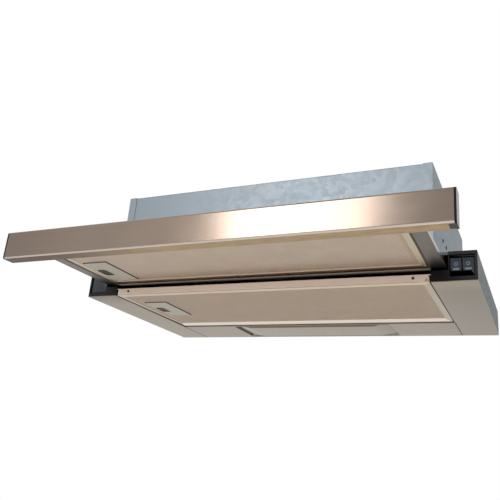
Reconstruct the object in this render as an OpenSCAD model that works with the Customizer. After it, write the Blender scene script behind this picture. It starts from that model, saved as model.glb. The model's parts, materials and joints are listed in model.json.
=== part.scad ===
// Pull-out cooker hood: a flat lower body that hangs under a wall cabinet, an upper box that stands inside
// the cabinet and holds the blower, and a visor with its own grease filter that slides out to the front.
// Frame: X to the right, Y to the wall, Z up. The origin is the centre of the four cabinet fixing holes,
// on top of the lower body. The visor is drawn pulled out.

/* [Lower body] */
// Width of the lower body
body_w = 600; // [580:1:640]
// Depth of the lower body, from its front to the wall
body_d = 308; // [300:1:320]
// Height of the lower body
body_h = 40; // [40:0.5:44]
// Thickness of the lower body's sheet steel
sheet = 1; // [0.8:0.1:1.2]
// Width of each steel panel beside the filter opening
side_panel_w = 56.5; // [54:0.5:60]
// Depth of the panel between the main filter and the wall
rear_panel_d = 91; // [88:0.5:94]
// Distance of each fixing hole from the body's side
fixing_side = 20; // [16:1:28]
// Distance between the fixing holes, front to back
fixing_d = 240; // [220:1:260]
// Diameter of the fixing holes
fixing_dia = 5; // [4:0.5:6]

/* [Upper box] */
// Width of the deck strip beside the upper box
box_side_gap = 52.75; // [50:0.25:60]
// Height of the upper box
box_h = 130; // [130:1:150]
// Distance of the box front behind the lower body's front
box_setback = 1.5; // [1:0.5:3]
// Distance of the box back ahead of the wall
box_rear_gap = 3; // [2:0.5:6]
// Thickness of the box's galvanised sheet
box_sheet = 0.8; // [0.6:0.1:1]
// Width of the flanges that the side panels fold round the box
box_flange = 12; // [10:0.5:14]

/* [Duct collar] */
// Outer diameter of the duct collar
duct_dia = 120; // [120:1:125]
// Height of the duct collar above the box
duct_h = 41; // [38:1:50]
// Wall of the duct collar
duct_wall = 2; // [1.8:0.1:2.5]
// Distance from the collar's middle to each flap's hinge
flap_hinge_y = 4; // [3.5:0.5:5]
// Thickness of a backdraught flap
flap_t = 1.2; // [1:0.1:1.5]

/* [Visor] */
// How far the visor's front stands ahead of the lower body when it is pulled out
visor_reach = 186; // [180:1:190]
// Height of the fascia bar
fascia_h = 39; // [36:0.5:39]
// Depth of the fascia bar
fascia_d = 20; // [18:0.5:22]
// Height of the fascia's lower edge above the body's underside
fascia_lift = 2.3; // [1:0.1:3]
// Radius of the fascia's front edges
fascia_r = 3; // [2:0.5:4]
// Height of the visor's underside above the body's underside
visor_lift = 18; // [17.5:0.5:19]
// Height of the visor pan
pan_h = 17; // [15:0.5:17]
// Depth of the visor pan behind the fascia
pan_d = 195; // [190:1:198]
// Width of each visor side rail
rail_w = 18.5; // [18:0.5:19]
// Height of each visor side rail
rail_h = 6; // [6:0.5:7]
// Length of each visor side rail
rail_len = 290; // [270:1:294]
// Diameter of the balls in the rails
ball_dia = 2.6; // [2.2:0.1:2.8]
// Balls on each side of a ball cage
ball_count = 7; // [5:1:9]

/* [Filters] */
// Thickness of both grease filters
filter_t = 8; // [7:0.5:8.5]
// Width of the frame bands at a filter's sides
filter_band = 10; // [8:0.5:11]
// Depth of the main filter's rounded rear band
main_rear_band = 26; // [20:1:30]
// Length of a handle plate, front to back
handle_l = 82; // [70:1:86]
// Width of a handle plate
handle_w = 40; // [36:1:42]
// Length of the finger recess in a handle plate
recess_l = 27; // [24:1:32]
// Width of the finger recess in a handle plate
recess_w = 15.5; // [14:0.5:18]
// How far a latch slides to free its filter
latch_travel = 4; // [3.6:0.1:4.5]

/* [Switches] */
// Width of the upright part of a corner block
block_w = 35; // [34:0.5:38]
// Depth of a corner block
block_d = 28; // [24:0.5:30]
// Height of the ledge under the visor rail
ledge_h = 14.5; // [12:0.5:15]
// Width of a switch rocker
rocker_w = 13.4; // [12:0.1:13.6]
// Height of a switch rocker
rocker_h = 22; // [20:0.5:23]
// Angle between the two positions of a rocker
rocker_tilt = 12; // [8:1:14]

/* [Blower] */
// Outer radius of the blower wheel
wheel_r = 46; // [44:0.5:46.5]
// Width of the blower wheel
wheel_w = 96; // [80:1:98]
// Blades on the blower wheel
blade_count = 32; // [24:1:40]
// Radius of the motor can
motor_r = 34; // [30:0.5:36]
// Length of the motor can
motor_l = 52; // [46:1:60]
// Radius of the motor shaft
shaft_r = 4; // [3:0.5:5]

/* [Lamp] */
// Width of the lamp opening
lamp_w = 282; // [270:1:290]
// Depth of the lamp opening, front to back
lamp_d = 81; // [78:0.5:82]
// Distance that the lamp cover stands below the body
lamp_bulge = 1.2; // [0.5:0.1:1.5]
// Run of the cover's sloped ends
lamp_slope = 28; // [20:1:32]
// Diameter of a lamp bulb
bulb_dia = 22; // [20:0.5:22]
// Length of a lamp bulb
bulb_l = 84; // [70:1:88]

/* [Hidden] */
$fn = 48;

// Clearances that several pieces share, and the overrun of a cut past the face that it opens
over = 1;
seam = 0.5;
slip = 0.3;
fit = 0.05;
film = 0.1;

// Lower body
half_w = body_w / 2;
front_y = -body_d / 2;
back_y = body_d / 2;
floor_z = -body_h;
inner_z = floor_z + sheet;
centre_half = half_w - side_panel_w;
bezel_t = 2;
hem_h = 3;
deck_strip = 12.25;
deck_rim_front = 16;
deck_rim_rear = 36;
fixing_x = half_w - fixing_side;
flange_h = 14;

// Front lip and the rivets
lip_t = 0.8;
lip_end_gap = 2.5;
lip_h = 9.5;
lip_lift = 1.5;
lip_d = 8;
lip_half = centre_half - lip_end_gap;
rivet_r = 1.2;
rivet_head_r = 2;
rivet_head_t = 0.5;
rivet_tail = 0.3;
lip_rivet_l = lip_t + rivet_tail;
rivet_inset = 22;
rivet_drop = 4.5;
rivet_x = centre_half - rivet_inset;
rivet_z = floor_z + lip_lift + lip_h - rivet_drop;

// Filter hinge pins, filter latches and handle plates
filter_gap = 1.5;
filter_half = centre_half - filter_gap;
hinge_inset = 4;
hinge_x = filter_half - hinge_inset;
pin_r = 1.5;
pin_reach = 1.2;
main_pin_lift = 3.5;
visor_pin_lift = 2;
mesh_skin = 0.5;
mesh_sheet = 0.4;
mesh_rim = 1;
front_band = 8;
handle_proud = 0.3;
handle_roof = 1;
recess_from_front = 29;
recess_from_side = 1.4;
recess_r = 5;
bolt_w = 6;
bolt_t = 1.4;
bolt_slack = 0.2;
grip_inset = 0.4;
grip_end_gap = 0.6;
grip_w = recess_w - grip_inset - latch_travel - grip_end_gap;
ridge_w = 2;
ridge_h = 1.6;
bolt_up = filter_t - mesh_skin - handle_roof - bolt_slack - bolt_t;

// Main filter
rear_front_y = back_y - rear_panel_d;
main_front = front_y + lip_t + seam;
main_back = rear_front_y - seam;
main_rear_r = 6;
main_handle_inset = 20.5;
main_handle_from_front = 46.7;
main_handle_y = main_front + main_handle_from_front;
main_bolt_reach = 3;
main_bolt_y = main_handle_y + recess_from_front + recess_l / 2;
main_bolt_z = floor_z + bolt_up;

// Visor
closed_gap = 0.5;
visor_front = front_y - visor_reach;
fascia_back = visor_front + fascia_d;
fascia_z0 = floor_z + fascia_lift;
fascia_t = 1;
fascia_back_r = 1.5;
cap_t = 2.5;
cap_foot = 8.6;
cap_plug = 5;
cap_slack = 0.1;
pan_t = 0.8;
pan_back = fascia_back + pan_d;
visor_z = floor_z + visor_lift;
pan_top = visor_z + pan_h;
visor_travel = visor_reach - fascia_d - closed_gap;
visor_filter_gap = 0.6;
visor_filter_behind = 2;
visor_filter_front = fascia_back + pan_t + visor_filter_gap;
visor_filter_back = front_y - visor_filter_behind;
visor_rear_band = 14;
visor_rear_r = 7;
visor_handle_inset = 12.5;
visor_handle_from_front = 60.6;
visor_handle_y = visor_filter_front + visor_handle_from_front;
visor_bolt_reach = 2.4;
visor_bolt_y = visor_handle_y + recess_from_front + recess_l / 2;
visor_bolt_z = visor_z + bolt_up;
ear_w = 9;
ear_h = 8;
fascia_screw_r = 2;
fascia_screw_head = 3.4;
fascia_screw_head_t = 1.8;
fascia_screw_l = 6;
fascia_screw_up = 12;
fascia_screw_shares = [-0.85, -0.3, 0.3, 0.85];

// Rails, balls and cages, on the right side
rail_t = 1;
rail_x0 = centre_half;
rail_x1 = centre_half + rail_w;
ball_r = ball_dia / 2;
ball_slack = 0.1;
race = ball_dia + 2 * ball_slack;
fixed_x0 = rail_x0 + rail_t + race;
fixed_x1 = rail_x1 - rail_t - race;
fixed_front_gap = 14;
fixed_back_gap = 18;
fixed_floor_gap = 0.8;
fixed_front = front_y + fixed_front_gap;
fixed_back = back_y - fixed_back_gap;
fixed_top = visor_z + rail_h;
fixed_drop = rail_h - rail_t - fixed_floor_gap;
hanger_t = 1.2;
hanger_flange = 11;
cage_t = 0.3;
cage_side_t = 0.8;
cage_inset = 7;
cage_front = fixed_front + cage_inset;
cage_len = 96;
cage_z = visor_z + rail_t + (fixed_floor_gap - cage_t) / 2;
cage_h = 3.55;
ball_lift = 2.15;
ball_z = cage_z + ball_lift;
ball_end = 8;
ball_pitch = (cage_len - 2 * ball_end) / (ball_count - 1);
ball_x = [rail_x0 + rail_t + race / 2, rail_x1 - rail_t - race / 2];

// Corner blocks, switches and the blank insert
block_half = half_w - block_w;
block_gap = 0.2;
block_back = front_y + block_d;
recess_in = 3;
recess_floor = front_y + recess_in;
switch_inner = 1;
switch_outer = 3;
switch_lift = 5.7;
switch_h = 29.5;
switch_x0 = block_half + switch_inner;
switch_x1 = half_w - switch_outer;
switch_z0 = floor_z + switch_lift;
switch_z1 = switch_z0 + switch_h;
rocker_gap = 0.2;
rocker_rib = 0.9;
rocker_pitch = rocker_w + 2 * rocker_gap + rocker_rib;
rocker_in = 9;
rocker_x = (switch_x0 + switch_x1) / 2;
rocker_y = front_y + rocker_in;
rocker_z = (switch_z0 + switch_z1) / 2;
rocker_nose = 7;
rocker_dish = 0.8;
rocker_back = 3;
rocker_neck = 4;
rocker_shoulder = 2;
rocker_well = 1.4;
well_behind = 6;
well_back = rocker_y + well_behind;
rod_r = 1.2;
rod_end = 1.4;
insert_t = 1.5;
module_d = 12;

// Small screws
screw_r = 1.5;
screw_head_r = 2.8;
screw_head_t = 1.4;
screw_l = 6.5;

// Upper box
box_half = half_w - box_side_gap;
inner_box = box_half - box_sheet;
box_front = front_y + box_setback;
box_back = back_y - box_rear_gap;
wrap_front = box_front + box_sheet;
wrap_back = box_back - box_sheet;
box_rivet_inset = 6;
box_rivets_n = 5;
box_rivet_l = 2 * box_sheet + rivet_tail;

// Duct collar and backdraught flaps
duct_r = duct_dia / 2;
duct_in = duct_r - duct_wall;
collar_z = box_h - box_sheet;
collar_flange_w = 12;
collar_flange_r = duct_r + collar_flange_w;
collar_flange_t = 2.5;
flap_lift = 21;
flap_z = collar_z + flap_lift;
flap_pin_r = 1.5;
flap_pin_fit = 0.08;
flap_tail = 3;
flap_edge = 1.5;
flap_slack = 0.2;
pin_end = 0.4;
seat_w = 3;
seat_t = 2;
seat_notch = 8;
collar_screw_out = 7.5;
collar_screw_ring = duct_r + collar_screw_out;
collar_screws_n = 6;

// Blower: the scroll's outline grows from the tongue round to the outlet neck
scroll_t = 2;
wheel_gap = 2;
scroll_half = wheel_w / 2 + wheel_gap + scroll_t;
tongue_gap = 4;
scroll_start = wheel_r + tongue_gap;
scroll_growth = 10;
scroll_end = scroll_start + scroll_growth;
tongue_angle = 75;
tongue_y = scroll_start * cos(tongue_angle);
scroll_step = 7.5;
scroll_lift = 2;
scroll_y = -(scroll_end + tongue_y) / 2;
scroll_z = scroll_end + scroll_t + scroll_lift;
scroll_top = collar_z - box_sheet;
neck_h = scroll_top - scroll_z;
neck_flange = 8;
neck_wing = 20;
inlet_r = 40;
inlet_ring = 3;
inlet_lip = 4;
blade_d = 9;
blade_t = 1;
blade_angle_shares = [0, 0.35, 1];
blade_lean = 12;
ring_t = 2;
disc_t = 2;
disc_slack = 0.02;
hub_r = 10;
hub_l = 20;
motor_gap = 14;
motor_x = scroll_half + motor_gap;
motor_end = motor_x + motor_l;
motor_wall = 3;
motor_side = 6;
stator_t = 4;
stator_r = motor_r - motor_side;
stator_inset = 8;
rotor_gap = 0.5;
rotor_r = stator_r - stator_t - rotor_gap;
rotor_inset = 12;
bearing_r = 8;
bearing_l = 6;
arm_w = 12;
arm_t = 3;
arm_angles = [30, 150, 270];
plate_r = 20;
post_r = 3;
post_out = 8;
post_ring = inlet_r + post_out;
shaft_tail = 2;
shaft_nose = 2;

// Electrical parts
capacitor_r = 15;
capacitor_l = 60;
capacitor_from_back = 91;
capacitor_y = box_back - capacitor_from_back;
capacitor_z = 60;
clip_t = 1.5;
clip_w = 14;
clip_base = 3;
clip_half = 12;
capacitor_x = -inner_box + capacitor_r + clip_t;
terminal_size = [42, 64, 44];
terminal_from_front = 63.5;
terminal_y = box_front + terminal_from_front;
terminal_z = 24;
terminal_screw_inset = [17, 47];
terminal_screw_y = [for (inset = terminal_screw_inset) terminal_y + inset];
terminal_screw_z = 46;
gland_side = 46.45;
gland_from_back = 51;
gland_x = inner_box - gland_side;
gland_y = box_back - gland_from_back;
gland_r = 9;
gland_neck = 6;
gland_bore = 4.2;
gland_h = 12;
gland_nut = 3;
wire_r = 2.5;
wire_motor_out = 20;
wire_motor_y = scroll_y - wire_motor_out;
wire_motor_z = 60;
wire_high_z = 32;
wire_low_z = -9;
wire_drop_side = 21.45;
wire_drop_from_back = 9;
wire_switch_side = 10;
wire_drop_x = inner_box - wire_drop_side;
wire_drop_y = back_y - wire_drop_from_back;
wire_switch_x = half_w - wire_switch_side;

// Lamp
lamp_margin = 6;
lamp_y1 = back_y - lamp_margin;
lamp_y0 = lamp_y1 - lamp_d;
tray_margin = 3.5;
tray_lap = 2;
tray_wall = 1.2;
tray_half = lamp_w / 2 + tray_margin;
tray_gap = 2;
tray_top = -sheet - tray_gap;
cover_gap = 1.5;
cover_t = 2;
cover_rim_t = 2.5;
cover_rim_lift = 3;
cover_rim_z = floor_z + cover_rim_lift;
cover_face_z = floor_z - lamp_bulge;
cover_edge = 6;
cover_half = lamp_w / 2 - cover_gap;
cover_y0 = lamp_y0 + cover_gap;
cover_y1 = lamp_y1 - cover_gap;
cover_pin_r = 1.5;
cover_pin_inset = 3.5;
cover_pin_y = cover_y1 - cover_pin_inset;
cover_pin_z = cover_rim_z + cover_rim_t / 2;
thumb_w = 12;
thumb_x = 14;
holder_r = 11.5;
holder_l = 26;
holder_bore = 7;
holder_depth = 16;
bulb_y = (lamp_y0 + lamp_y1) / 2;
bulb_z = (cover_rim_z + cover_rim_t + tray_top) / 2;
bulb_cap_r = 6.8;
bulb_cap_l = 14;
bulb_base = tray_half - tray_wall - holder_l;

// Microswitch, pressed by the visor pan's rear edge when the visor is shut
micro_w = 10;
micro_d = 20;
micro_h = 8;
micro_side = 6.5;
micro_x = -centre_half + micro_side;
lever_t = 0.8;
lever_w = 4;
lever_l = 6.5;
lever_tilt = 14;
lever_pin_r = 1;
lever_ear = 1.5;
lever_drop = 1.5;
lever_y = pan_back + visor_travel + slip + lever_t / 2;
lever_z = -sheet - lever_drop;
micro_y = lever_y + lever_pin_r + slip;
ear_h_micro = 3.2;

// A box between two corners
module slab(low, high) {
    translate(low) cube(high - low);
}

// A rectangle between two corners of a profile
module patch(low, high) {
    translate(low) square(high - low);
}

// A profile drawn in Y and Z, drawn out along X from x0 to x1
module along_x(x0, x1) {
    translate([x0, 0, 0]) rotate([90, 0, 90]) linear_extrude(x1 - x0) children();
}

// A profile drawn in X and Z, drawn out along Y from y0 to y1
module along_y(y0, y1) {
    translate([0, y1, 0]) rotate([90, 0, 0]) linear_extrude(y1 - y0) children();
}

// A round bar along X at y and z
module bar_x(x0, x1, y, z, r) {
    translate([x0, y, z]) rotate([0, 90, 0]) cylinder(h = x1 - x0, r = r);
}

// A round bar along Y at x and z
module bar_y(y0, y1, x, z, r) {
    translate([x, y1, z]) rotate([90, 0, 0]) cylinder(h = y1 - y0, r = r);
}

// The same shape on the right and on the left
module both_sides() {
    children();
    mirror([1, 0, 0]) children();
}

// The outline of a bar whose two front edges have radius r and whose two rear edges have radius s
module bar_outline(low, high, r, s) {
    patch([low.x, low.y + r], [high.x - s, high.y - r]);
    patch([low.x + r, low.y], [high.x - s, high.y]);
    patch([high.x - 2 * s, low.y + s], [high.x, high.y - s]);
    for (z = [low.y + r, high.y - r]) translate([low.x + r, z]) circle(r);
    for (z = [low.y + s, high.y - s]) translate([high.x - s, z]) circle(s);
}

// Lower body

module lower_shell() {
    shell_front = front_y + bezel_t;
    color("lightsteelblue") difference() {
        union() {
            slab([-half_w, shell_front, -sheet], [half_w, back_y, 0]);
            both_sides() slab([half_w - sheet, shell_front, inner_z], [half_w, back_y, -sheet]);
            slab([-half_w + sheet, back_y - sheet, inner_z], [half_w - sheet, back_y, -sheet]);
            slab([-block_half, shell_front, -sheet - hem_h], [block_half, shell_front + sheet, -sheet]);
        }
        slab([-centre_half + deck_strip, box_front + deck_rim_front, -sheet - over],
             [centre_half - deck_strip, box_back - deck_rim_rear, over]);
        for (x = [-fixing_x, fixing_x], y = [-fixing_d / 2, fixing_d / 2])
            translate([x, y, -sheet - over]) cylinder(h = sheet + 2 * over, d = fixing_dia);
        wire_hole();
    }
}

// The hole through the deck and the box's rear flange for the wires
module wire_hole() {
    translate([wire_drop_x, wire_drop_y, -sheet - over]) cylinder(h = sheet + 3 * over, r = wire_r + slip);
}

module bottom_panel() {
    slab([centre_half, front_y, floor_z], [half_w, back_y, inner_z]);
    slab([centre_half, block_back, inner_z], [centre_half + sheet, back_y - sheet, inner_z + flange_h]);
}

module left_bottom_panel() {
    color("tan") difference() {
        mirror([1, 0, 0]) bottom_panel();
        bolt_hole(-centre_half - sheet - over, -centre_half + over, main_bolt_y, main_bolt_z);
    }
}

module right_bottom_panel() {
    color("tan") bottom_panel();
}

// The hole that a latch bolt slides in
module bolt_hole(x0, x1, y, z) {
    slab([x0, y - bolt_w / 2 - slip, z - slip], [x1, y + bolt_w / 2 + slip, z + bolt_t + slip]);
}

module rear_bottom_panel() {
    panel_half = centre_half - seam;
    color("tan") difference() {
        union() {
            slab([-panel_half, rear_front_y, floor_z], [panel_half, back_y, inner_z]);
            slab([-panel_half, rear_front_y, inner_z],
                 [panel_half, rear_front_y + sheet, floor_z + main_pin_lift + pin_r + sheet]);
        }
        slab([-lamp_w / 2, lamp_y0, floor_z - over], [lamp_w / 2, lamp_y1, inner_z + over]);
        bar_y(rear_front_y - over, rear_front_y + sheet + over,
              hinge_x, floor_z + main_pin_lift, pin_r + fit);
    }
}

module front_lip() {
    z0 = floor_z + lip_lift;
    color("bisque") difference() {
        union() {
            slab([-lip_half, front_y, z0], [lip_half, front_y + lip_t, z0 + lip_h]);
            slab([-centre_half, front_y, z0 + lip_h - lip_t], [centre_half, front_y + lip_d, z0 + lip_h]);
        }
        both_sides() bar_y(front_y - over, front_y + lip_t + over, rivet_x, rivet_z, rivet_r);
        bar_y(front_y - over, front_y + lip_t + over, hinge_x, floor_z + main_pin_lift, pin_r + fit);
    }
}

// A rivet whose head stands on z = 0, with its shank below
module rivet(shank_l) {
    cylinder(h = rivet_head_t, r = rivet_head_r);
    translate([0, 0, -shank_l]) cylinder(h = shank_l + film, r = rivet_r);
}

// The rivets that hold the box's side panels to its top
module box_rivets() {
    pitch = (box_back - box_front - 2 * box_flange) / (box_rivets_n - 1);
    both_sides() for (i = [0 : box_rivets_n - 1])
        translate([inner_box - box_rivet_inset, box_front + box_flange + i * pitch, box_h])
            rivet(box_rivet_l);
}

module rivets() {
    color("dimgray") {
        both_sides() translate([rivet_x, front_y, rivet_z]) rotate([90, 0, 0]) rivet(lip_rivet_l);
        box_rivets();
    }
}

// A corner block on the right, with its switch recess and the ledge below the visor rail
module corner_block() {
    difference() {
        union() {
            slab([block_half, front_y, inner_z], [half_w, front_y + bezel_t, 0]);
            slab([block_half, front_y + bezel_t, inner_z], [half_w - sheet - block_gap, block_back, -sheet]);
            slab([centre_half, front_y, inner_z], [block_half, block_back, inner_z + ledge_h]);
        }
        slab([switch_x0, front_y - over, switch_z0], [switch_x1, recess_floor, switch_z1]);
    }
}

module left_corner_block() {
    color("black") mirror([1, 0, 0]) corner_block();
}

module blank_insert() {
    color("dimgray") mirror([1, 0, 0])
        slab([switch_x0, recess_floor - insert_t, switch_z0], [switch_x1, recess_floor, switch_z1]);
}

module right_corner_block() {
    well_w = rocker_w + 2 * rocker_gap;
    well_h = rocker_h / 2 + rocker_well;
    color("black") difference() {
        corner_block();
        for (x = [rocker_x - rocker_pitch / 2, rocker_x + rocker_pitch / 2])
            slab([x - well_w / 2, recess_floor - over, rocker_z - well_h],
                 [x + well_w / 2, well_back, rocker_z + well_h]);
        bar_x(switch_x0 + rod_end - over, switch_x1 - rod_end + over, rocker_y, rocker_z, rod_r);
    }
}

module switch_pivot_rod() {
    color("silver") bar_x(switch_x0 + rod_end - over, switch_x1 - rod_end + over, rocker_y, rocker_z, rod_r);
}

module switch_module() {
    color("dimgray") slab([switch_x0, block_back, switch_z0], [switch_x1, block_back + module_d, switch_z1]);
}

// A rocker tilted to its off position, with its upper half standing out
module rocker(x) {
    half = rocker_w / 2;
    translate([0, rocker_y, rocker_z]) rotate([rocker_tilt / 2, 0, 0]) along_x(x - half, x + half)
        difference() {
            polygon([[-rocker_nose, rocker_h / 2], [-rocker_nose + rocker_dish, 0],
                     [-rocker_nose, -rocker_h / 2], [-rocker_shoulder, -rocker_h / 2],
                     [rocker_back, -rocker_neck], [rocker_back, rocker_neck],
                     [-rocker_shoulder, rocker_h / 2]]);
            circle(rod_r + fit);
        }
}

module light_rocker() {
    color("midnightblue") rocker(rocker_x - rocker_pitch / 2);
}

module fan_rocker() {
    color("midnightblue") rocker(rocker_x + rocker_pitch / 2);
}

// Upper box

// The box's front, with flanges that lie on the deck and under the top
module box_front_panel() {
    slab([-inner_box, wrap_front, 0], [inner_box, wrap_front + box_sheet, scroll_top]);
    for (z = [0, scroll_top - box_sheet])
        slab([-inner_box + box_flange, wrap_front, z],
             [inner_box - box_flange, box_front + box_flange, z + box_sheet]);
}

module upper_box_front() {
    color("lightsteelblue") box_front_panel();
}

module upper_box_back() {
    middle = box_front + box_back;
    color("lightsteelblue") difference() {
        translate([0, middle, 0]) mirror([0, 1, 0]) box_front_panel();
        wire_hole();
    }
}

module upper_box_top() {
    color("lightsteelblue") difference() {
        slab([-inner_box, wrap_front, scroll_top], [inner_box, wrap_back, collar_z]);
        translate([0, 0, scroll_top - over]) cylinder(h = 3 * over, r = duct_in);
        translate([gland_x, gland_y, scroll_top - over]) cylinder(h = 3 * over, r = gland_neck);
        collar_screw_set();
        box_rivets();
    }
}

// A side panel on the right, with flanges folded round the front, the back, the top and the foot
module box_side() {
    slab([inner_box, box_front, 0], [box_half, box_back, box_h]);
    slab([inner_box - box_flange, box_front, 0], [inner_box, wrap_front, box_h]);
    slab([inner_box - box_flange, wrap_back, 0], [inner_box, box_back, box_h]);
    slab([inner_box - box_flange, wrap_front, collar_z], [inner_box, wrap_back, box_h]);
    slab([inner_box - box_flange, wrap_front + box_sheet, 0], [inner_box, wrap_back - box_sheet, box_sheet]);
}

module upper_box_left_side() {
    color("lightsteelblue") difference() {
        mirror([1, 0, 0]) box_side();
        box_rivets();
    }
}

module upper_box_right_side() {
    color("lightsteelblue") difference() {
        box_side();
        box_rivets();
        terminal_screw_set();
    }
}

// A screw whose head stands on z = 0, with its shank below
module screw() {
    cylinder(h = screw_head_t, r = screw_head_r);
    translate([0, 0, -screw_l]) cylinder(h = screw_l + film, r = screw_r);
}

module terminal_screw_set() {
    for (y = terminal_screw_y) translate([box_half, y, terminal_screw_z]) rotate([0, 90, 0]) screw();
}

module collar_screw_set() {
    for (i = [0 : collar_screws_n - 1]) rotate(i * 360 / collar_screws_n)
        translate([collar_screw_ring, 0, collar_z + collar_flange_t]) screw();
}

module small_screws() {
    color("dimgray") {
        collar_screw_set();
        terminal_screw_set();
    }
}

// Duct collar and its two flaps

module duct_collar() {
    seat_top = flap_z - flap_t / 2 - flap_slack;
    color("dimgray") difference() {
        union() {
            translate([0, 0, collar_z]) cylinder(h = collar_flange_t, r = collar_flange_r);
            translate([0, 0, collar_z]) cylinder(h = duct_h, r = duct_r);
        }
        difference() {
            translate([0, 0, collar_z - over]) cylinder(h = duct_h + 2 * over, r = duct_in);
            translate([0, 0, seat_top - seat_t]) difference() {
                cylinder(h = seat_t, r = duct_r);
                translate([0, 0, -over]) cylinder(h = seat_t + 2 * over, r = duct_in - seat_w);
                slab([-duct_r, -seat_notch, -over], [duct_r, seat_notch, seat_t + over]);
            }
        }
        for (y = [-flap_hinge_y, flap_hinge_y])
            bar_x(-duct_r - over, duct_r + over, y, flap_z, flap_pin_r + flap_pin_fit);
        collar_screw_set();
    }
}

// The flap behind the middle, a D-shaped leaf on its own pin
module flap() {
    pin_half = sqrt(duct_r * duct_r - flap_hinge_y * flap_hinge_y) - pin_end;
    intersection() {
        translate([0, 0, flap_z - flap_t / 2]) cylinder(h = flap_t, r = duct_in - flap_edge);
        slab([-duct_r, flap_hinge_y - flap_tail, flap_z - flap_t], [duct_r, duct_r, flap_z + flap_t]);
    }
    bar_x(-pin_half, pin_half, flap_hinge_y, flap_z, flap_pin_r);
}

module rear_flap() {
    color("gray") flap();
}

module front_flap() {
    color("gray") mirror([0, 1, 0]) flap();
}

// Blower

// Radius of the scroll at an angle measured from the wall side upwards
function scroll_radius(a) =
    scroll_start + scroll_growth * (a - tongue_angle) / (360 - tongue_angle);

// A point of the scroll, spread outwards by a wall
function scroll_point(a, wall) = (scroll_radius(a) + wall) * [cos(a), sin(a)];

module scroll_inside() {
    polygon(concat([for (a = [tongue_angle : scroll_step : 360]) scroll_point(a, 0)],
                   [[scroll_end, neck_h], [tongue_y, neck_h]]));
}

module scroll_outside() {
    first = tongue_angle + scroll_step / 2;
    polygon(concat([for (a = [first : scroll_step : 360]) scroll_point(a, scroll_t)],
                   [[scroll_end + scroll_t, 0], [scroll_end + scroll_t, neck_h],
                    [tongue_y - scroll_t, neck_h]]));
}

// The right half of the scroll: a spiral wall, a side plate with the inlet, and half of the neck's flange
module scroll_half_shell() {
    neck_back = scroll_y + scroll_end + scroll_t + neck_flange;
    neck_front = scroll_y + tongue_y - scroll_t - neck_flange;
    difference() {
        union() {
            translate([0, scroll_y, scroll_z]) along_x(0, scroll_half) scroll_outside();
            bar_x(scroll_half - scroll_t, scroll_half + inlet_lip, scroll_y, scroll_z, inlet_r + inlet_ring);
            slab([0, neck_front, scroll_top - scroll_t], [scroll_half + neck_wing, neck_back, scroll_top]);
        }
        translate([0, scroll_y, scroll_z]) along_x(-over, scroll_half - scroll_t) scroll_inside();
        slab([-over, scroll_y + tongue_y, scroll_top - scroll_t - over],
             [scroll_half - scroll_t, scroll_y + scroll_end, scroll_top + over]);
        bar_x(scroll_half - scroll_t - over, scroll_half + inlet_lip + over, scroll_y, scroll_z, inlet_r);
        collar_screw_set();
    }
}

module scroll_right_half() {
    color("whitesmoke") scroll_half_shell();
}

module scroll_left_half() {
    color("whitesmoke") mirror([1, 0, 0]) scroll_half_shell();
}

// A point on a blade's face: its radius grows along the blade while it leans round
function blade_point(i, side) =
    let (r = wheel_r - blade_d + blade_d * i / 2,
         a = blade_lean * blade_angle_shares[i] + side * blade_t / r * 180 / PI)
    r * [cos(a), sin(a)];

// The wheel's two end rings, and the middle disc with its hub
module impeller() {
    blade_in = wheel_r - blade_d;
    color("silver") translate([0, scroll_y, scroll_z]) {
        both_sides() difference() {
            bar_x(wheel_w / 2 - ring_t, wheel_w / 2, 0, 0, wheel_r);
            bar_x(wheel_w / 2 - ring_t - over, wheel_w / 2 + over, 0, 0, blade_in);
        }
        difference() {
            union() {
                bar_x(-disc_t / 2, disc_t / 2, 0, 0, blade_in - disc_slack);
                bar_x(-hub_l / 2, hub_l / 2, 0, 0, hub_r);
            }
            bar_x(-hub_l, hub_l, 0, 0, shaft_r);
        }
    }
}

module impeller_blades() {
    blade_half = wheel_w / 2 - ring_t;
    near = [for (k = [0 : 2]) blade_point(k, 0)];
    far = [for (k = [2 : -1 : 0]) blade_point(k, 1)];
    color("silver") translate([0, scroll_y, scroll_z])
        for (i = [0 : blade_count - 1])
            along_x(-blade_half, blade_half) rotate(i * 360 / blade_count) polygon(concat(near, far));
}

module motor_shaft() {
    color("silver") {
        bar_x(-hub_l / 2 - shaft_nose, motor_end + shaft_tail, scroll_y, scroll_z, shaft_r);
        bar_x(motor_x + rotor_inset, motor_end - rotor_inset, scroll_y, scroll_z, rotor_r);
    }
}

module motor_can() {
    color("silver") difference() {
        bar_x(motor_x, motor_end, scroll_y, scroll_z, motor_r);
        bar_x(motor_x + motor_wall, motor_end - motor_wall, scroll_y, scroll_z, stator_r);
        bar_x(motor_x - over, motor_end + over, scroll_y, scroll_z, bearing_r);
    }
}

module motor_stator() {
    color("sienna") difference() {
        bar_x(motor_x + stator_inset, motor_end - stator_inset, scroll_y, scroll_z, stator_r);
        bar_x(motor_x, motor_end, scroll_y, scroll_z, rotor_r + rotor_gap);
    }
}

module motor_bearings() {
    color("goldenrod") difference() {
        for (x = [motor_x, motor_end - bearing_l]) bar_x(x, x + bearing_l, scroll_y, scroll_z, bearing_r);
        bar_x(motor_x - over, motor_end + over, scroll_y, scroll_z, shaft_r + fit);
    }
}

// Three arms that carry the motor ahead of the inlet, on posts that stand on the scroll's side plate
module motor_bracket() {
    color("darkgray") translate([0, scroll_y, scroll_z]) difference() {
        union() {
            bar_x(motor_x - arm_t, motor_x, 0, 0, plate_r);
            for (a = arm_angles) rotate([a, 0, 0]) {
                slab([motor_x - arm_t, 0, -arm_w / 2], [motor_x, post_ring, arm_w / 2]);
                bar_x(motor_x - arm_t, motor_x, post_ring, 0, arm_w / 2);
                bar_x(scroll_half, motor_x - arm_t / 2, post_ring, 0, post_r);
            }
        }
        bar_x(motor_x - arm_t - over, motor_x + over, 0, 0, bearing_r);
    }
}

// Electrical parts

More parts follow.
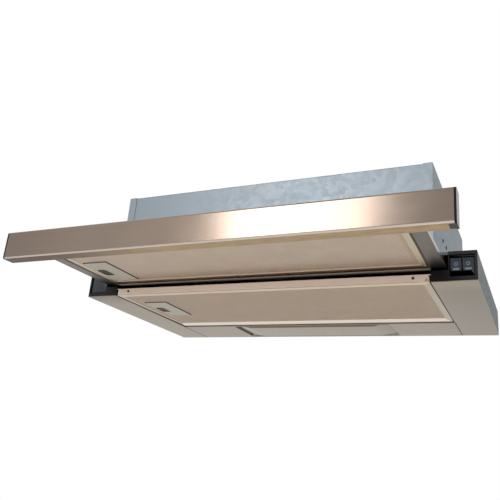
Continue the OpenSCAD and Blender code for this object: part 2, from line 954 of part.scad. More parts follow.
module capacitor() {
    color("whitesmoke") bar_y(capacitor_y, capacitor_y + capacitor_l, capacitor_x, capacitor_z, capacitor_r);
}

module capacitor_clip() {
    y0 = capacitor_y + capacitor_l / 2 - clip_w / 2;
    color("silver") difference() {
        union() {
            bar_y(y0, y0 + clip_w, capacitor_x, capacitor_z, capacitor_r + clip_t);
            slab([-inner_box, y0, capacitor_z - clip_half],
                 [-inner_box + clip_base, y0 + clip_w, capacitor_z + clip_half]);
        }
        bar_y(y0 - over, y0 + clip_w + over, capacitor_x, capacitor_z, capacitor_r);
    }
}

module terminal_box() {
    color("dimgray") difference() {
        slab([inner_box - terminal_size.x, terminal_y, terminal_z],
             [inner_box, terminal_y + terminal_size.y, terminal_z + terminal_size.z]);
        terminal_screw_set();
    }
}

module cable_gland() {
    color("black") translate([gland_x, gland_y, 0]) difference() {
        union() {
            translate([0, 0, scroll_top]) cylinder(h = box_sheet, r = gland_neck);
            translate([0, 0, collar_z]) cylinder(h = gland_h, r = gland_r);
            translate([0, 0, scroll_top - gland_nut]) cylinder(h = gland_nut, r = gland_r, $fn = 6);
        }
        translate([0, 0, scroll_top - gland_nut - over])
            cylinder(h = gland_nut + gland_h + 3 * over, r = gland_bore);
    }
}

// A wire's rounded corner
module wire_corner(x, y, z) {
    translate([x, y, z]) sphere(wire_r);
}

// Wires from the terminal box to the motor, and round the back of the rails to the lamp and the switches
module wiring_loom() {
    terminal_back = terminal_y + terminal_size.y;
    color("gray") {
        bar_x(motor_end, inner_box - terminal_size.x, wire_motor_y, wire_motor_z, wire_r);
        bar_y(terminal_back, wire_drop_y, wire_drop_x, wire_high_z, wire_r);
        wire_corner(wire_drop_x, wire_drop_y, wire_high_z);
        translate([wire_drop_x, wire_drop_y, wire_low_z]) cylinder(h = wire_high_z - wire_low_z, r = wire_r);
        bar_x(tray_half, wire_switch_x, wire_drop_y, wire_low_z, wire_r);
        wire_corner(wire_switch_x, wire_drop_y, wire_low_z);
        bar_y(block_back + module_d, wire_drop_y, wire_switch_x, wire_low_z, wire_r);
    }
}

// Lamp

module lamp_tray() {
    y0 = lamp_y0 - tray_lap;
    y1 = lamp_y1 + tray_lap;
    color("gainsboro") difference() {
        slab([-tray_half, y0, inner_z], [tray_half, y1, tray_top]);
        slab([-tray_half + tray_wall, y0 + tray_wall, inner_z - over],
             [tray_half - tray_wall, y1 - tray_wall, tray_top - tray_wall]);
        bar_x(-tray_half - over, tray_half + over, cover_pin_y, cover_pin_z, cover_pin_r + fit);
    }
}

module lamp_holders() {
    holder_end = tray_half - tray_wall;
    color("ivory") both_sides() difference() {
        bar_x(bulb_base, holder_end, bulb_y, bulb_z, holder_r);
        bar_x(bulb_base - over, bulb_base + holder_depth, bulb_y, bulb_z, holder_bore);
    }
}

module lamp_bulbs() {
    nose = bulb_dia / 2;
    color("lightyellow") both_sides() {
        bar_x(bulb_base, bulb_base + bulb_cap_l, bulb_y, bulb_z, bulb_cap_r);
        bar_x(bulb_base - bulb_l + nose, bulb_base, bulb_y, bulb_z, nose);
        translate([bulb_base - bulb_l + nose, bulb_y, bulb_z]) sphere(nose);
    }
}

// The solid form of the cover, drawn in by a wall on the inside
module cover_form(wall) {
    hull() {
        slab([-cover_half + wall, cover_y0 + wall, cover_rim_z],
             [cover_half - wall, cover_y1 - wall, cover_rim_z + cover_rim_t]);
        slab([-cover_half + lamp_slope + wall, cover_y0 + cover_edge + wall, cover_face_z + wall],
             [cover_half - lamp_slope - wall, cover_y1 - cover_edge - wall, cover_face_z + wall + film]);
    }
}

module lamp_cover() {
    color("beige") {
        difference() {
            cover_form(0);
            cover_form(cover_t);
            slab([-cover_half + cover_t, cover_y0 + cover_t, cover_rim_z],
                 [cover_half - cover_t, cover_y1 - cover_t, cover_rim_z + cover_rim_t + over]);
            slab([thumb_x - thumb_w / 2, cover_y0 - over, cover_rim_z - over],
                 [thumb_x + thumb_w / 2, cover_y0 + cover_t - slip, cover_rim_z + cover_rim_t + over]);
        }
        both_sides() bar_x(cover_half - cover_t / 2, tray_half - slip, cover_pin_y, cover_pin_z, cover_pin_r);
    }
}

// Rails

// The rail on the right that hangs from the deck, inside the visor's rail
module fixed_rail() {
    mid = (fixed_x0 + fixed_x1) / 2;
    along_y(fixed_front, fixed_back) {
        patch([fixed_x0, fixed_top - rail_t], [fixed_x1, fixed_top]);
        patch([fixed_x0, fixed_top - fixed_drop], [fixed_x0 + rail_t, fixed_top]);
        patch([fixed_x1 - rail_t, fixed_top - fixed_drop], [fixed_x1, fixed_top]);
        patch([mid - hanger_t / 2, fixed_top - rail_t], [mid + hanger_t / 2, -sheet]);
        patch([mid - hanger_flange / 2, -2 * sheet], [mid + hanger_flange / 2, -sheet]);
    }
}

module right_fixed_rail() {
    color("silver") fixed_rail();
}

module left_fixed_rail() {
    color("silver") mirror([1, 0, 0]) fixed_rail();
}

// A cage on the right that keeps two rows of balls apart between the rails
module ball_cage() {
    x0 = ball_x[0] - cage_side_t / 2;
    x1 = ball_x[1] + cage_side_t / 2;
    ball_y = [for (i = [0 : ball_count - 1]) cage_front + ball_end + i * ball_pitch];
    difference() {
        along_y(cage_front, cage_front + cage_len) {
            patch([x0, cage_z], [x1, cage_z + cage_t]);
            for (x = ball_x) patch([x - cage_side_t / 2, cage_z], [x + cage_side_t / 2, cage_z + cage_h]);
        }
        for (x = ball_x, y = ball_y) bar_x(x - cage_side_t, x + cage_side_t, y, ball_z, ball_r + fit);
    }
    for (x = ball_x, y = ball_y) translate([x, y, ball_z]) sphere(ball_r);
}

module right_ball_cage() {
    color("silver") ball_cage();
}

module left_ball_cage() {
    color("silver") mirror([1, 0, 0]) ball_cage();
}

// The visor's rail on the right, an open channel round the fixed rail
module visor_rail() {
    along_y(fascia_back, fascia_back + rail_len) {
        patch([rail_x0, visor_z], [rail_x1, visor_z + rail_t]);
        patch([rail_x0, visor_z], [rail_x0 + rail_t, visor_z + rail_h]);
        patch([rail_x1 - rail_t, visor_z], [rail_x1, visor_z + rail_h]);
    }
}

module right_visor_rail() {
    color("gray") visor_rail();
}

module left_visor_rail() {
    color("gray") difference() {
        mirror([1, 0, 0]) visor_rail();
        bolt_hole(-rail_x0 - rail_t - over, -rail_x0 + over, visor_bolt_y, visor_bolt_z);
    }
}

// Visor

module fascia_outline(wall) {
    bar_outline([visor_front + wall, fascia_z0 + wall],
                [fascia_back - wall, fascia_z0 + fascia_h - wall], fascia_r - wall, fascia_back_r - wall);
}

// The strip of the fascia's underside that an end cap on the right fills
module cap_foot_strip(gap) {
    slab([half_w - cap_foot + gap, visor_front + fascia_r, fascia_z0],
         [half_w - cap_t + film, fascia_back - fascia_r, fascia_z0 + fascia_t]);
}

module fascia_screw_shanks() {
    for (s = fascia_screw_shares)
        bar_y(fascia_back - fascia_screw_l, fascia_back + pan_t, s * centre_half,
              visor_z + fascia_screw_up, fascia_screw_r);
}

module fascia_bar() {
    tube_half = half_w - cap_t;
    color("rosybrown") difference() {
        along_x(-tube_half, tube_half) difference() {
            fascia_outline(0);
            fascia_outline(fascia_t);
        }
        both_sides() cap_foot_strip(0);
        fascia_screw_shanks();
    }
}

module end_cap() {
    along_x(half_w - cap_t, half_w) fascia_outline(0);
    along_x(half_w - cap_t - cap_plug, half_w - cap_t + film) fascia_outline(fascia_t + cap_slack);
    cap_foot_strip(0);
}

module end_caps() {
    color("black") both_sides() end_cap();
}

module fascia_screws() {
    color("silver") {
        fascia_screw_shanks();
        for (s = fascia_screw_shares)
            bar_y(fascia_back + pan_t, fascia_back + pan_t + fascia_screw_head_t, s * centre_half,
                  visor_z + fascia_screw_up, fascia_screw_head);
    }
}

// A sheet pan over the visor filter, open below and at the rear, with an ear for the filter's rear pin
module visor_pan() {
    ear_y = visor_filter_back + seam;
    color("silver") difference() {
        union() {
            slab([-centre_half, fascia_back, pan_top - pan_t], [centre_half, pan_back, pan_top]);
            both_sides() slab([centre_half - pan_t, fascia_back, visor_z], [centre_half, pan_back, pan_top]);
            slab([-centre_half, fascia_back, visor_z], [centre_half, fascia_back + pan_t, pan_top]);
            slab([centre_half - pan_t - ear_w, ear_y, visor_z],
                 [centre_half, ear_y + pan_t, visor_z + ear_h]);
        }
        bolt_hole(-centre_half - over, -centre_half + pan_t + over, visor_bolt_y, visor_bolt_z);
        bar_y(fascia_back - over, fascia_back + pan_t + over, hinge_x, visor_z + visor_pin_lift, pin_r + fit);
        bar_y(ear_y - over, ear_y + pan_t + over, hinge_x, visor_z + visor_pin_lift, pin_r + fit);
        fascia_screw_shanks();
    }
}

// Grease filters

// A frame from y0 to y1 whose rear edge is rounded from below, with its hinge pins on the right
module filter_frame(y0, y1, z0, rear_band, rear_r, pin_lift, bolt_y) {
    difference() {
        union() {
            along_x(-filter_half, filter_half) {
                patch([y0, z0], [y1 - rear_r, z0 + filter_t]);
                patch([y0, z0 + rear_r], [y1, z0 + filter_t]);
                intersection() {
                    translate([y1 - rear_r, z0 + rear_r]) circle(rear_r);
                    patch([y0, z0], [y1, z0 + filter_t]);
                }
            }
            bar_y(y0 - pin_reach, y0 + over, hinge_x, z0 + pin_lift, pin_r);
            bar_y(y1 - rear_r, y1 + pin_reach, hinge_x, z0 + pin_lift, pin_r);
        }
        slab([-filter_half + filter_band, y0 + front_band, z0 - over],
             [filter_half - filter_band, y1 - rear_band, z0 + filter_t + over]);
        bolt_hole(-filter_half - over, -filter_half + filter_band + over, bolt_y, z0 + bolt_up);
    }
}

// The mesh inside a frame: two sheets with a rim, and the place of the handle plate cut out
module filter_mesh(y0, y1, z0, rear_band, handle_x, handle_y, bolt_y) {
    low = [-filter_half + filter_band, y0 + front_band, z0 + mesh_skin];
    high = [filter_half - filter_band, y1 - rear_band, z0 + filter_t - mesh_skin];
    wall = [mesh_rim, mesh_rim, mesh_sheet];
    difference() {
        slab(low, high);
        slab(low + wall, high - wall);
        slab([handle_x, handle_y, z0 - over], [handle_x + handle_w, handle_y + handle_l, high.z + over]);
        bolt_hole(-filter_half, handle_x + over, bolt_y, z0 + bolt_up);
    }
}

module filter_handle(handle_x, handle_y, z0, bolt_y) {
    x0 = handle_x + recess_from_side;
    y0 = handle_y + recess_from_front;
    low = z0 - handle_proud;
    top = z0 + filter_t - mesh_skin;
    difference() {
        slab([handle_x, handle_y, low], [handle_x + handle_w, handle_y + handle_l, top]);
        translate([0, 0, low - over]) linear_extrude(top - handle_roof - low + over) {
            patch([x0 + recess_r, y0], [x0 + recess_w - recess_r, y0 + recess_l]);
            patch([x0, y0 + recess_r], [x0 + recess_w, y0 + recess_l - recess_r]);
            for (x = [x0 + recess_r, x0 + recess_w - recess_r], y = [y0 + recess_r, y0 + recess_l - recess_r])
                translate([x, y]) circle(recess_r);
        }
        bolt_hole(handle_x - over, x0 + over, bolt_y, z0 + bolt_up);
    }
}

// A latch: a finger grip in the roof of the recess, with a ridge, and a bolt that reaches past the frame
module filter_latch(handle_x, z0, bolt_y, reach) {
    x0 = handle_x + recess_from_side + grip_inset;
    z = z0 + bolt_up;
    grip_half = recess_l / 2 - recess_r;
    slab([x0, bolt_y - grip_half, z], [x0 + grip_w, bolt_y + grip_half, z + bolt_t]);
    slab([x0, bolt_y - grip_half, z - ridge_h], [x0 + ridge_w, bolt_y + grip_half, z + bolt_t]);
    slab([-filter_half - reach, bolt_y - bolt_w / 2, z], [x0 + ridge_w, bolt_y + bolt_w / 2, z + bolt_t]);
}

main_handle_x = -filter_half + main_handle_inset;
visor_handle_x = -filter_half + visor_handle_inset;

module main_filter_frame() {
    color("wheat") filter_frame(main_front, main_back, floor_z, main_rear_band, main_rear_r, main_pin_lift,
                                main_bolt_y);
}

module main_filter_mesh() {
    color("tan") filter_mesh(main_front, main_back, floor_z, main_rear_band, main_handle_x, main_handle_y,
                             main_bolt_y);
}

module main_filter_handle() {
    color("beige") filter_handle(main_handle_x, main_handle_y, floor_z, main_bolt_y);
}

module main_latch() {
    color("darkolivegreen") filter_latch(main_handle_x, floor_z, main_bolt_y, main_bolt_reach);
}

module visor_filter_frame() {
    color("wheat") filter_frame(visor_filter_front, visor_filter_back, visor_z, visor_rear_band,
                                visor_rear_r, visor_pin_lift, visor_bolt_y);
}

module visor_filter_mesh() {
    color("tan") filter_mesh(visor_filter_front, visor_filter_back, visor_z, visor_rear_band,
                             visor_handle_x, visor_handle_y, visor_bolt_y);
}

module visor_filter_handle() {
    color("beige") filter_handle(visor_handle_x, visor_handle_y, visor_z, visor_bolt_y);
}

module visor_latch() {
    color("darkolivegreen") filter_latch(visor_handle_x, visor_z, visor_bolt_y, visor_bolt_reach);
}

// Microswitch

module microswitch() {
    ear_x = lever_w / 2 + fit;
    color("black") difference() {
        union() {
            slab([micro_x - micro_w / 2, micro_y, -sheet - micro_h],
                 [micro_x + micro_w / 2, micro_y + micro_d, -sheet]);
            for (side = [-1, 1]) slab([micro_x + side * (ear_x + lever_ear / 2) - lever_ear / 2,
                                       lever_y - lever_ear, -sheet - ear_h_micro],
                                      [micro_x + side * (ear_x + lever_ear / 2) + lever_ear / 2,
                                       micro_y, -sheet]);
        }
        bar_x(micro_x - micro_w / 2, micro_x + micro_w / 2, lever_y, lever_z, lever_pin_r + fit);
    }
}

module microswitch_lever() {
    pin_half = lever_w / 2 + lever_ear;
    color("silver") translate([micro_x, lever_y, lever_z]) rotate([-lever_tilt, 0, 0]) {
        bar_x(-pin_half, pin_half, 0, 0, lever_pin_r);
        slab([-lever_w / 2, -lever_t / 2, -lever_l], [lever_w / 2, lever_t / 2, 0]);
    }
}

lower_shell();
left_bottom_panel();
right_bottom_panel();
rear_bottom_panel();
front_lip();
rivets();
left_corner_block();
blank_insert();
right_corner_block();
switch_pivot_rod();
switch_module();
upper_box_front();
upper_box_top();
upper_box_back();
upper_box_left_side();
upper_box_right_side();
small_screws();
duct_collar();
scroll_left_half();
scroll_right_half();
motor_can();
motor_stator();
motor_bearings();
motor_bracket();
capacitor();
capacitor_clip();
terminal_box();
cable_gland();
wiring_loom();
lamp_tray();
lamp_holders();
lamp_bulbs();
left_fixed_rail();
right_fixed_rail();
microswitch();
left_ball_cage();
right_ball_cage();
fascia_bar();
end_caps();
fascia_screws();
visor_pan();
left_visor_rail();
right_visor_rail();
visor_filter_frame();
visor_filter_mesh();
visor_filter_handle();
visor_latch();
main_filter_frame();
main_filter_mesh();
main_filter_handle();
main_latch();
lamp_cover();
light_rocker();
fan_rocker();
front_flap();
rear_flap();
impeller();
impeller_blades();
motor_shaft();
microswitch_lever();
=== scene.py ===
import json
from math import copysign, cos, pi, radians, sin

import bmesh
import bpy
from mathutils import Matrix, Vector, noise


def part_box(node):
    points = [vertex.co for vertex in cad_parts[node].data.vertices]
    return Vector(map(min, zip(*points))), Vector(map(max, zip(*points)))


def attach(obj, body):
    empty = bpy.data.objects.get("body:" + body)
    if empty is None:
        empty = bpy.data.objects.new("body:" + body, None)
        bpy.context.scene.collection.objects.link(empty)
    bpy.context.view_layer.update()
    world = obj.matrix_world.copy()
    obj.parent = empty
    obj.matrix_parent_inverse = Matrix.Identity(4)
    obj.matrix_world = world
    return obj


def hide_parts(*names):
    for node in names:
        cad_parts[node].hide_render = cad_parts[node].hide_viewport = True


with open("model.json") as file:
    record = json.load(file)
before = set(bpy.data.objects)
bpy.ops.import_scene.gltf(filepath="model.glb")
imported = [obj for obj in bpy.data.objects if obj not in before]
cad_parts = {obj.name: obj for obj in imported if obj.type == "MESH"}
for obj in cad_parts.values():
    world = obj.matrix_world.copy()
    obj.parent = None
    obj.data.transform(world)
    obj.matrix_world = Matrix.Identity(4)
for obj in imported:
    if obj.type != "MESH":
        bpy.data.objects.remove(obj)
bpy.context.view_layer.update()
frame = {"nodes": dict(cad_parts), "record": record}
NODES = frame["nodes"]
SLOT_OF = {s["node"]: s["material_slot"] for s in frame["record"]["subparts"]}
BODY_OF = {n: body for body, names in frame["record"]["behaviour"]["bodies"].items() for n in names}
MM = 0.001


# Camera, at the photograph's viewpoint

CAMERA_AT = Vector((0.37286, -0.92839, -0.28051))
YAW, PITCH, ROLL = 0.4669, 0.33263, 0.091864
FOCAL_PX, CENTRE_PX = 624.77, (247.75, 251.57)
FRAME_PX = 500
SENSOR_MM = 36


def make_camera():
    ahead = Vector((-sin(YAW) * cos(PITCH), cos(YAW) * cos(PITCH), sin(PITCH)))
    level = Vector((cos(YAW), sin(YAW), 0))
    upright = level.cross(ahead)
    right = cos(ROLL) * level + sin(ROLL) * upright
    up = cos(ROLL) * upright - sin(ROLL) * level
    data = bpy.data.cameras.new("camera")
    data.sensor_width = SENSOR_MM
    data.lens = FOCAL_PX / FRAME_PX * SENSOR_MM
    data.shift_x = (FRAME_PX / 2 - CENTRE_PX[0]) / FRAME_PX
    data.shift_y = (CENTRE_PX[1] - FRAME_PX / 2) / FRAME_PX
    data.clip_start = 0.01
    camera = bpy.data.objects.new("camera", data)
    turn = Matrix((right, up, -ahead)).transposed().to_4x4()
    camera.matrix_world = Matrix.Translation(CAMERA_AT) @ turn
    bpy.context.scene.collection.objects.link(camera)
    bpy.context.scene.camera = camera


# Node materials

def plug(tree, value, socket):
    """Link a value to a socket, or set the socket to a plain number or colour."""
    if isinstance(value, Val):
        tree.links.new(value.socket, socket)
    else:
        socket.default_value = value


class Val:
    """One output in a material's node tree. Arithmetic on it adds Math nodes."""

    def __init__(self, tree, socket):
        self.tree, self.socket = tree, socket

    def math(self, operation, *others):
        node = self.tree.nodes.new("ShaderNodeMath")
        node.operation = operation
        for value, socket in zip((self, *others), node.inputs):
            plug(self.tree, value, socket)
        return Val(self.tree, node.outputs[0])

    def __add__(self, other):
        return self.math("ADD", other)

    def __sub__(self, other):
        return self.math("SUBTRACT", other)

    def __mul__(self, other):
        return self.math("MULTIPLY", other)

    def __truediv__(self, other):
        return self.math("DIVIDE", other)

    __radd__ = __add__
    __rmul__ = __mul__

    def fold(self, period):
        """Distance to the nearest multiple of period."""
        return self.math("PINGPONG", period / 2)

    def step(self, low, high):
        """0 below low, 1 above high, smooth between."""
        node = self.tree.nodes.new("ShaderNodeMapRange")
        node.interpolation_type = "SMOOTHSTEP"
        plug(self.tree, self, node.inputs["Value"])
        node.inputs["From Min"].default_value = low
        node.inputs["From Max"].default_value = high
        return Val(self.tree, node.outputs["Result"])

    def near(self, centre, width, soft):
        """1 within width of centre, falling to 0 over soft."""
        return self.math("SUBTRACT", centre).math("ABSOLUTE").step(width + soft, width)


def blend(tree, factor, first, second):
    """Mix two colours."""
    node = tree.nodes.new("ShaderNodeMix")
    node.data_type = "RGBA"
    plug(tree, factor, node.inputs["Factor"])
    for value, socket in ((first, node.inputs[6]), (second, node.inputs[7])):
        plug(tree, value if isinstance(value, Val) else (*value, 1), socket)
    return Val(tree, node.outputs[2])


class Mat:
    """A node material. Sizes in its patterns are in millimetres of the row frame."""

    def __init__(self, name, metallic=0.0, roughness=0.5, **inputs):
        self.data = bpy.data.materials.new(name)
        self.data.use_nodes = True
        self.tree = self.data.node_tree
        self.bsdf = self.tree.nodes["Principled BSDF"]
        self.place = self.tree.nodes.new("ShaderNodeTexCoord").outputs["Object"]
        split = self.tree.nodes.new("ShaderNodeSeparateXYZ")
        self.tree.links.new(self.place, split.inputs[0])
        self.x, self.y, self.z = (Val(self.tree, s) * 1000 for s in split.outputs)
        self.height = None
        self.bsdf.inputs["Metallic"].default_value = metallic
        self.bsdf.inputs["Roughness"].default_value = roughness
        for key, value in inputs.items():
            self.bsdf.inputs[key.replace("_", " ").title().replace("Ior", "IOR")].default_value = value

    def noise(self, size=(1, 1, 1), detail=3.0, rough=0.55):
        """Noise whose blobs are about size millimetres, from 0 to 1."""
        mapping = self.tree.nodes.new("ShaderNodeMapping")
        mapping.inputs["Scale"].default_value = [1000 / s for s in size]
        self.tree.links.new(self.place, mapping.inputs["Vector"])
        node = self.tree.nodes.new("ShaderNodeTexNoise")
        node.inputs["Scale"].default_value = 1
        node.inputs["Detail"].default_value = detail
        node.inputs["Roughness"].default_value = rough
        self.tree.links.new(mapping.outputs[0], node.inputs["Vector"])
        return Val(self.tree, node.outputs["Fac"])

    def mix(self, factor, first, second):
        return blend(self.tree, factor, first, second)

    def colour(self, value):
        plug(self.tree, value if isinstance(value, Val) else (*value, 1), self.bsdf.inputs["Base Color"])
        return self

    def roughness(self, value):
        plug(self.tree, value, self.bsdf.inputs["Roughness"])
        return self

    def bump(self, height, depth=0.1, strength=1.0):
        """Raise the surface by height times depth millimetres."""
        node = self.tree.nodes.new("ShaderNodeBump")
        node.inputs["Strength"].default_value = strength
        node.inputs["Distance"].default_value = depth * MM
        plug(self.tree, height, node.inputs["Height"])
        if self.height:
            self.tree.links.new(self.height, node.inputs["Normal"])
        self.height = node.outputs[0]
        self.tree.links.new(self.height, self.bsdf.inputs["Normal"])
        return self


def shade(colour, factor):
    return tuple(c * factor for c in colour)


def centred(noise, span):
    """Noise that swings round 0 over a span."""
    return (noise - 0.5) * span


def toned(m, tone, colour, low, high):
    """Set the base colour from low times colour up to high times colour, by tone."""
    return m.colour(m.mix(tone, shade(colour, low), shade(colour, high)))


BLOTCH = (90, 90, 90)
BROADER = 9
SHEET_BUMP = (0.02, 0.5)
# Painted shade on the bottom panels: darker from x 180 to 300.
PANEL_SHADED = (180, 300, 0.35)
# Painted shade along the panels' front edge: how far back it reaches, how much its edge wavers, how strong
# it is, and its colours on the left and on the right.
FRONT_SHADE_DEPTH, FRONT_SHADE_WAVE, FRONT_SHADE_SHARE = 52, 20, 0.8
FRONT_SHADE_LEFT, FRONT_SHADE_RIGHT = (0.12, 0.085, 0.06), (0.31, 0.25, 0.17)


def brushed(name, colour, grain=(60, 0.35, 0.35), roughness=0.32, contrast=0.12, clouds=0.08, painted_reflection_slopes=()):
    """Brushed sheet metal, with the grain drawn out along one axis.

    Each slope (x0, x1, gain) paints a reflection: it makes the sheet lighter by gain from x0 to x1."""
    m = Mat(name, metallic=1.0)
    fine = m.noise(grain, detail=2)
    broad = m.noise(tuple(g * BROADER for g in grain), detail=2)
    cloud = m.noise(BLOTCH, detail=2)
    tone = centred(fine, 2 * contrast) + centred(broad, contrast) + centred(cloud, 2 * clouds) + 0.5
    for x0, x1, gain in painted_reflection_slopes:
        tone = tone + m.x.step(x0, x1) * gain
    toned(m, tone, colour, 0.72, 1.28)
    m.roughness(centred(fine, 0.16) + centred(cloud, 0.12) + roughness)
    return m.bump(fine, *SHEET_BUMP)


def panel_steel(name, colour, front, grain=(70, 0.4, 0.4)):
    """Brushed steel of the bottom panels, with painted shade: darker from x 180 to 300, and darker and
    browner along their front edge, most on the left panel.
    """
    m = Mat(name, metallic=1.0)
    fine = m.noise(grain, detail=2)
    cloud = m.noise(BLOTCH, detail=2)
    # Painted shade: the sheet gets darker from x0 to x1.
    x0, x1, right_shade_loss = PANEL_SHADED
    tone = centred(fine, 0.15) + centred(cloud, 0.12) + 0.5 - m.x.step(x0, x1) * right_shade_loss
    sheet = m.mix(tone, shade(colour, 0.67), shade(colour, 1.33))
    # Painted shade along the front edge, darker on the left panel.
    front_shade = (m.y + centred(cloud, FRONT_SHADE_WAVE)).step(front + FRONT_SHADE_DEPTH, front)
    front_shade_colour = m.mix(m.x.step(0, -100), FRONT_SHADE_RIGHT, FRONT_SHADE_LEFT)
    m.colour(m.mix(front_shade * FRONT_SHADE_SHARE, sheet, front_shade_colour))
    m.roughness(centred(fine, 0.16) + 0.3)
    return m.bump(fine, *SHEET_BUMP)


def rear_band(name, light, dark):
    """The rounded band at the rear of the main filter, bright as a painted highlight, with painted shade
    where it turns up.
    """
    m = Mat(name, metallic=0.25, roughness=0.35)
    fine = m.noise((50, 0.4, 0.4), detail=2)
    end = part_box("main_filter_frame")[1].y / MM
    shaded = (m.y + centred(fine, 2)).step(end - 12, end - 2)
    m.colour(m.mix(shaded, m.mix(fine, shade(light, 0.9), light), dark))
    return m.bump(fine, *SHEET_BUMP)


def speckled(name, left, right, x0, x1):
    """Bare sheet with fine spots, going from one colour to another between x0 and x1."""
    m = Mat(name, metallic=1.0)
    spots = m.noise((14, 4, 4))
    along = (m.x + centred(spots, 80)).step(x0, x1)
    dark, light = (m.mix(along, shade(left, k), shade(right, k)) for k in (0.72, 1.28))
    m.colour(m.mix(centred(spots, 1.8) + 0.5, dark, light))
    return m.roughness(centred(spots, 0.2) + 0.4)


def rolled_edge(name, colour):
    """Polished sheet, lightened as a painted highlight, with painted shade where it rolls up out of the
    light.
    """
    m = Mat(name, metallic=0.7)
    fine = m.noise((2, 60, 60), detail=2)
    dark = m.y.step(ROLL_Y + ROLL_DIMS, ROLL_Y + ROLL_DARK)
    light = m.mix(centred(fine, 0.3) + 0.5, shade(colour, 0.85), shade(colour, 1.1))
    m.colour(m.mix(dark, light, shade(colour, 0.06)))
    m.roughness(centred(fine, 0.1) + 0.3)
    return m.bump(fine, *SHEET_BUMP)


SPANGLE_MM = 7


def galvanised(name, colour, roughness=0.42):
    """Zinc-coated sheet, with faint spangles and rolling streaks."""
    m = Mat(name, metallic=1.0)
    cells = m.tree.nodes.new("ShaderNodeTexVoronoi")
    cells.inputs["Scale"].default_value = 1000 / SPANGLE_MM
    m.tree.links.new(m.place, cells.inputs["Vector"])
    tint = m.tree.nodes.new("ShaderNodeSeparateColor")
    m.tree.links.new(cells.outputs["Color"], tint.inputs[0])
    spangle = Val(m.tree, tint.outputs[0])
    streak = m.noise((160, 9, 9), detail=3)
    toned(m, centred(spangle, 0.10) + centred(streak, 0.3) + 0.5, colour, 0.8, 1.2)
    m.roughness(centred(spangle, 0.08) + centred(streak, 0.1) + roughness)
    return m.bump(streak, 0.03, 0.4)


def plastic(name, colour, roughness=0.5, texture=0.4, depth=0.03, mottle=0.1, **inputs):
    """Moulded plastic with an eroded texture."""
    m = Mat(name, **inputs)
    grain = m.noise((texture,) * 3, detail=2)
    cloud = m.noise((30, 30, 30), detail=2)
    toned(m, cloud, colour, 1 - mottle, 1 + mottle)
    m.roughness(centred(grain, 0.15) + centred(cloud, 0.1) + roughness)
    return m.bump(grain, depth, 0.6)


def painted(name, colour, roughness=0.3):
    """Sprayed paint, with a little orange peel."""
    m = Mat(name, coat_weight=0.3, coat_roughness=0.15)
    peel = m.noise((1.6, 1.6, 1.6), detail=1)
    cloud = m.noise((50, 50, 50), detail=2)
    toned(m, cloud, colour, 0.94, 1.06)
    m.roughness(centred(cloud, 0.1) + roughness)
    return m.bump(peel, 0.02, 0.5)


def cast_metal(name, colour, metallic=1.0, roughness=0.5, size=0.8):
    """Metal with small pits."""
    m = Mat(name, metallic=metallic)
    pits = m.noise((size,) * 3, detail=4)
    cloud = m.noise((25, 25, 25), detail=2)
    toned(m, cloud, colour, 0.86, 1.14)
    m.roughness(centred(pits, 0.2) + roughness)
    return m.bump(pits, 0.06, 0.6)


def wound(name, copper, iron, axis="x"):
    """A stator: stacked laminations beside bundled copper wire."""
    m = Mat(name, metallic=1.0, roughness=0.4)
    along = getattr(m, axis)
    stack = along.fold(1.0)
    turns = m.noise((0.5, 6, 6), detail=2)
    m.colour(m.mix(turns.step(0.35, 0.6), iron, copper))
    return m.bump(stack, 0.2).bump(turns, 0.2)


STRAND_MIDDLE, STRAND_WIDTH, STRAND_SOFT = 0.5, 0.06, 0.12
DEEPER_SHIFT = (0.31, 0.37)


def mesh_metal(name, colour, pitch=(7, 3.4), roughness=0.5):
    """Layers of expanded aluminium behind the first one: small diamonds, in bump and in tone."""
    m = Mat(name, metallic=0.6)
    across = (m.x / pitch[0]).fold(1) + (m.y / pitch[1]).fold(1)
    back = (m.x / pitch[0] + DEEPER_SHIFT[0]).fold(1) + (m.y / pitch[1] + DEEPER_SHIFT[1]).fold(1)
    strand = across.near(STRAND_MIDDLE, STRAND_WIDTH, STRAND_SOFT)
    deeper = back.near(STRAND_MIDDLE, STRAND_WIDTH, STRAND_SOFT)
    cloud = m.noise((26, 18, 26), detail=3)
    toned(m, strand * 0.35 + deeper * 0.2 + centred(cloud, 0.35) + 0.25, colour, 0.7, 1.25)
    m.roughness(centred(cloud, 0.1) + roughness)
    return m.bump(strand + deeper * 0.5, 0.3, 0.6)


def fluted(name, colour, pitch=3.2, roughness=0.2):
    """A lamp lens: clear-looking cream plastic with fine flutes inside."""
    m = Mat(name, coat_weight=0.2, coat_roughness=0.08)
    flute = (m.x / pitch).fold(1)
    cross = (m.y / pitch).fold(1)
    cloud = m.noise((60, 30, 30), detail=2)
    toned(m, flute * 0.5 + cross * 0.5 + centred(cloud, 0.4), colour, 0.86, 1.12)
    m.roughness(centred(cloud, 0.08) + roughness)
    return m.bump(flute + cross, 0.12, 0.6)


STEEL_LINES, ACROSS_LINES = (70, 0.4, 0.4), (0.4, 50, 0.4)
CAD_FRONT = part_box("right_bottom_panel")[0].y / MM
ROLL_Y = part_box("visor_filter_frame")[1].y / MM - 1
ROLL_RISE = 9.5
ROLL_DIMS, ROLL_DARK = 7, 19
ROLL_GAP, ROLL_SHEET, ROLL_STEPS = 1.6, 0.8, 32

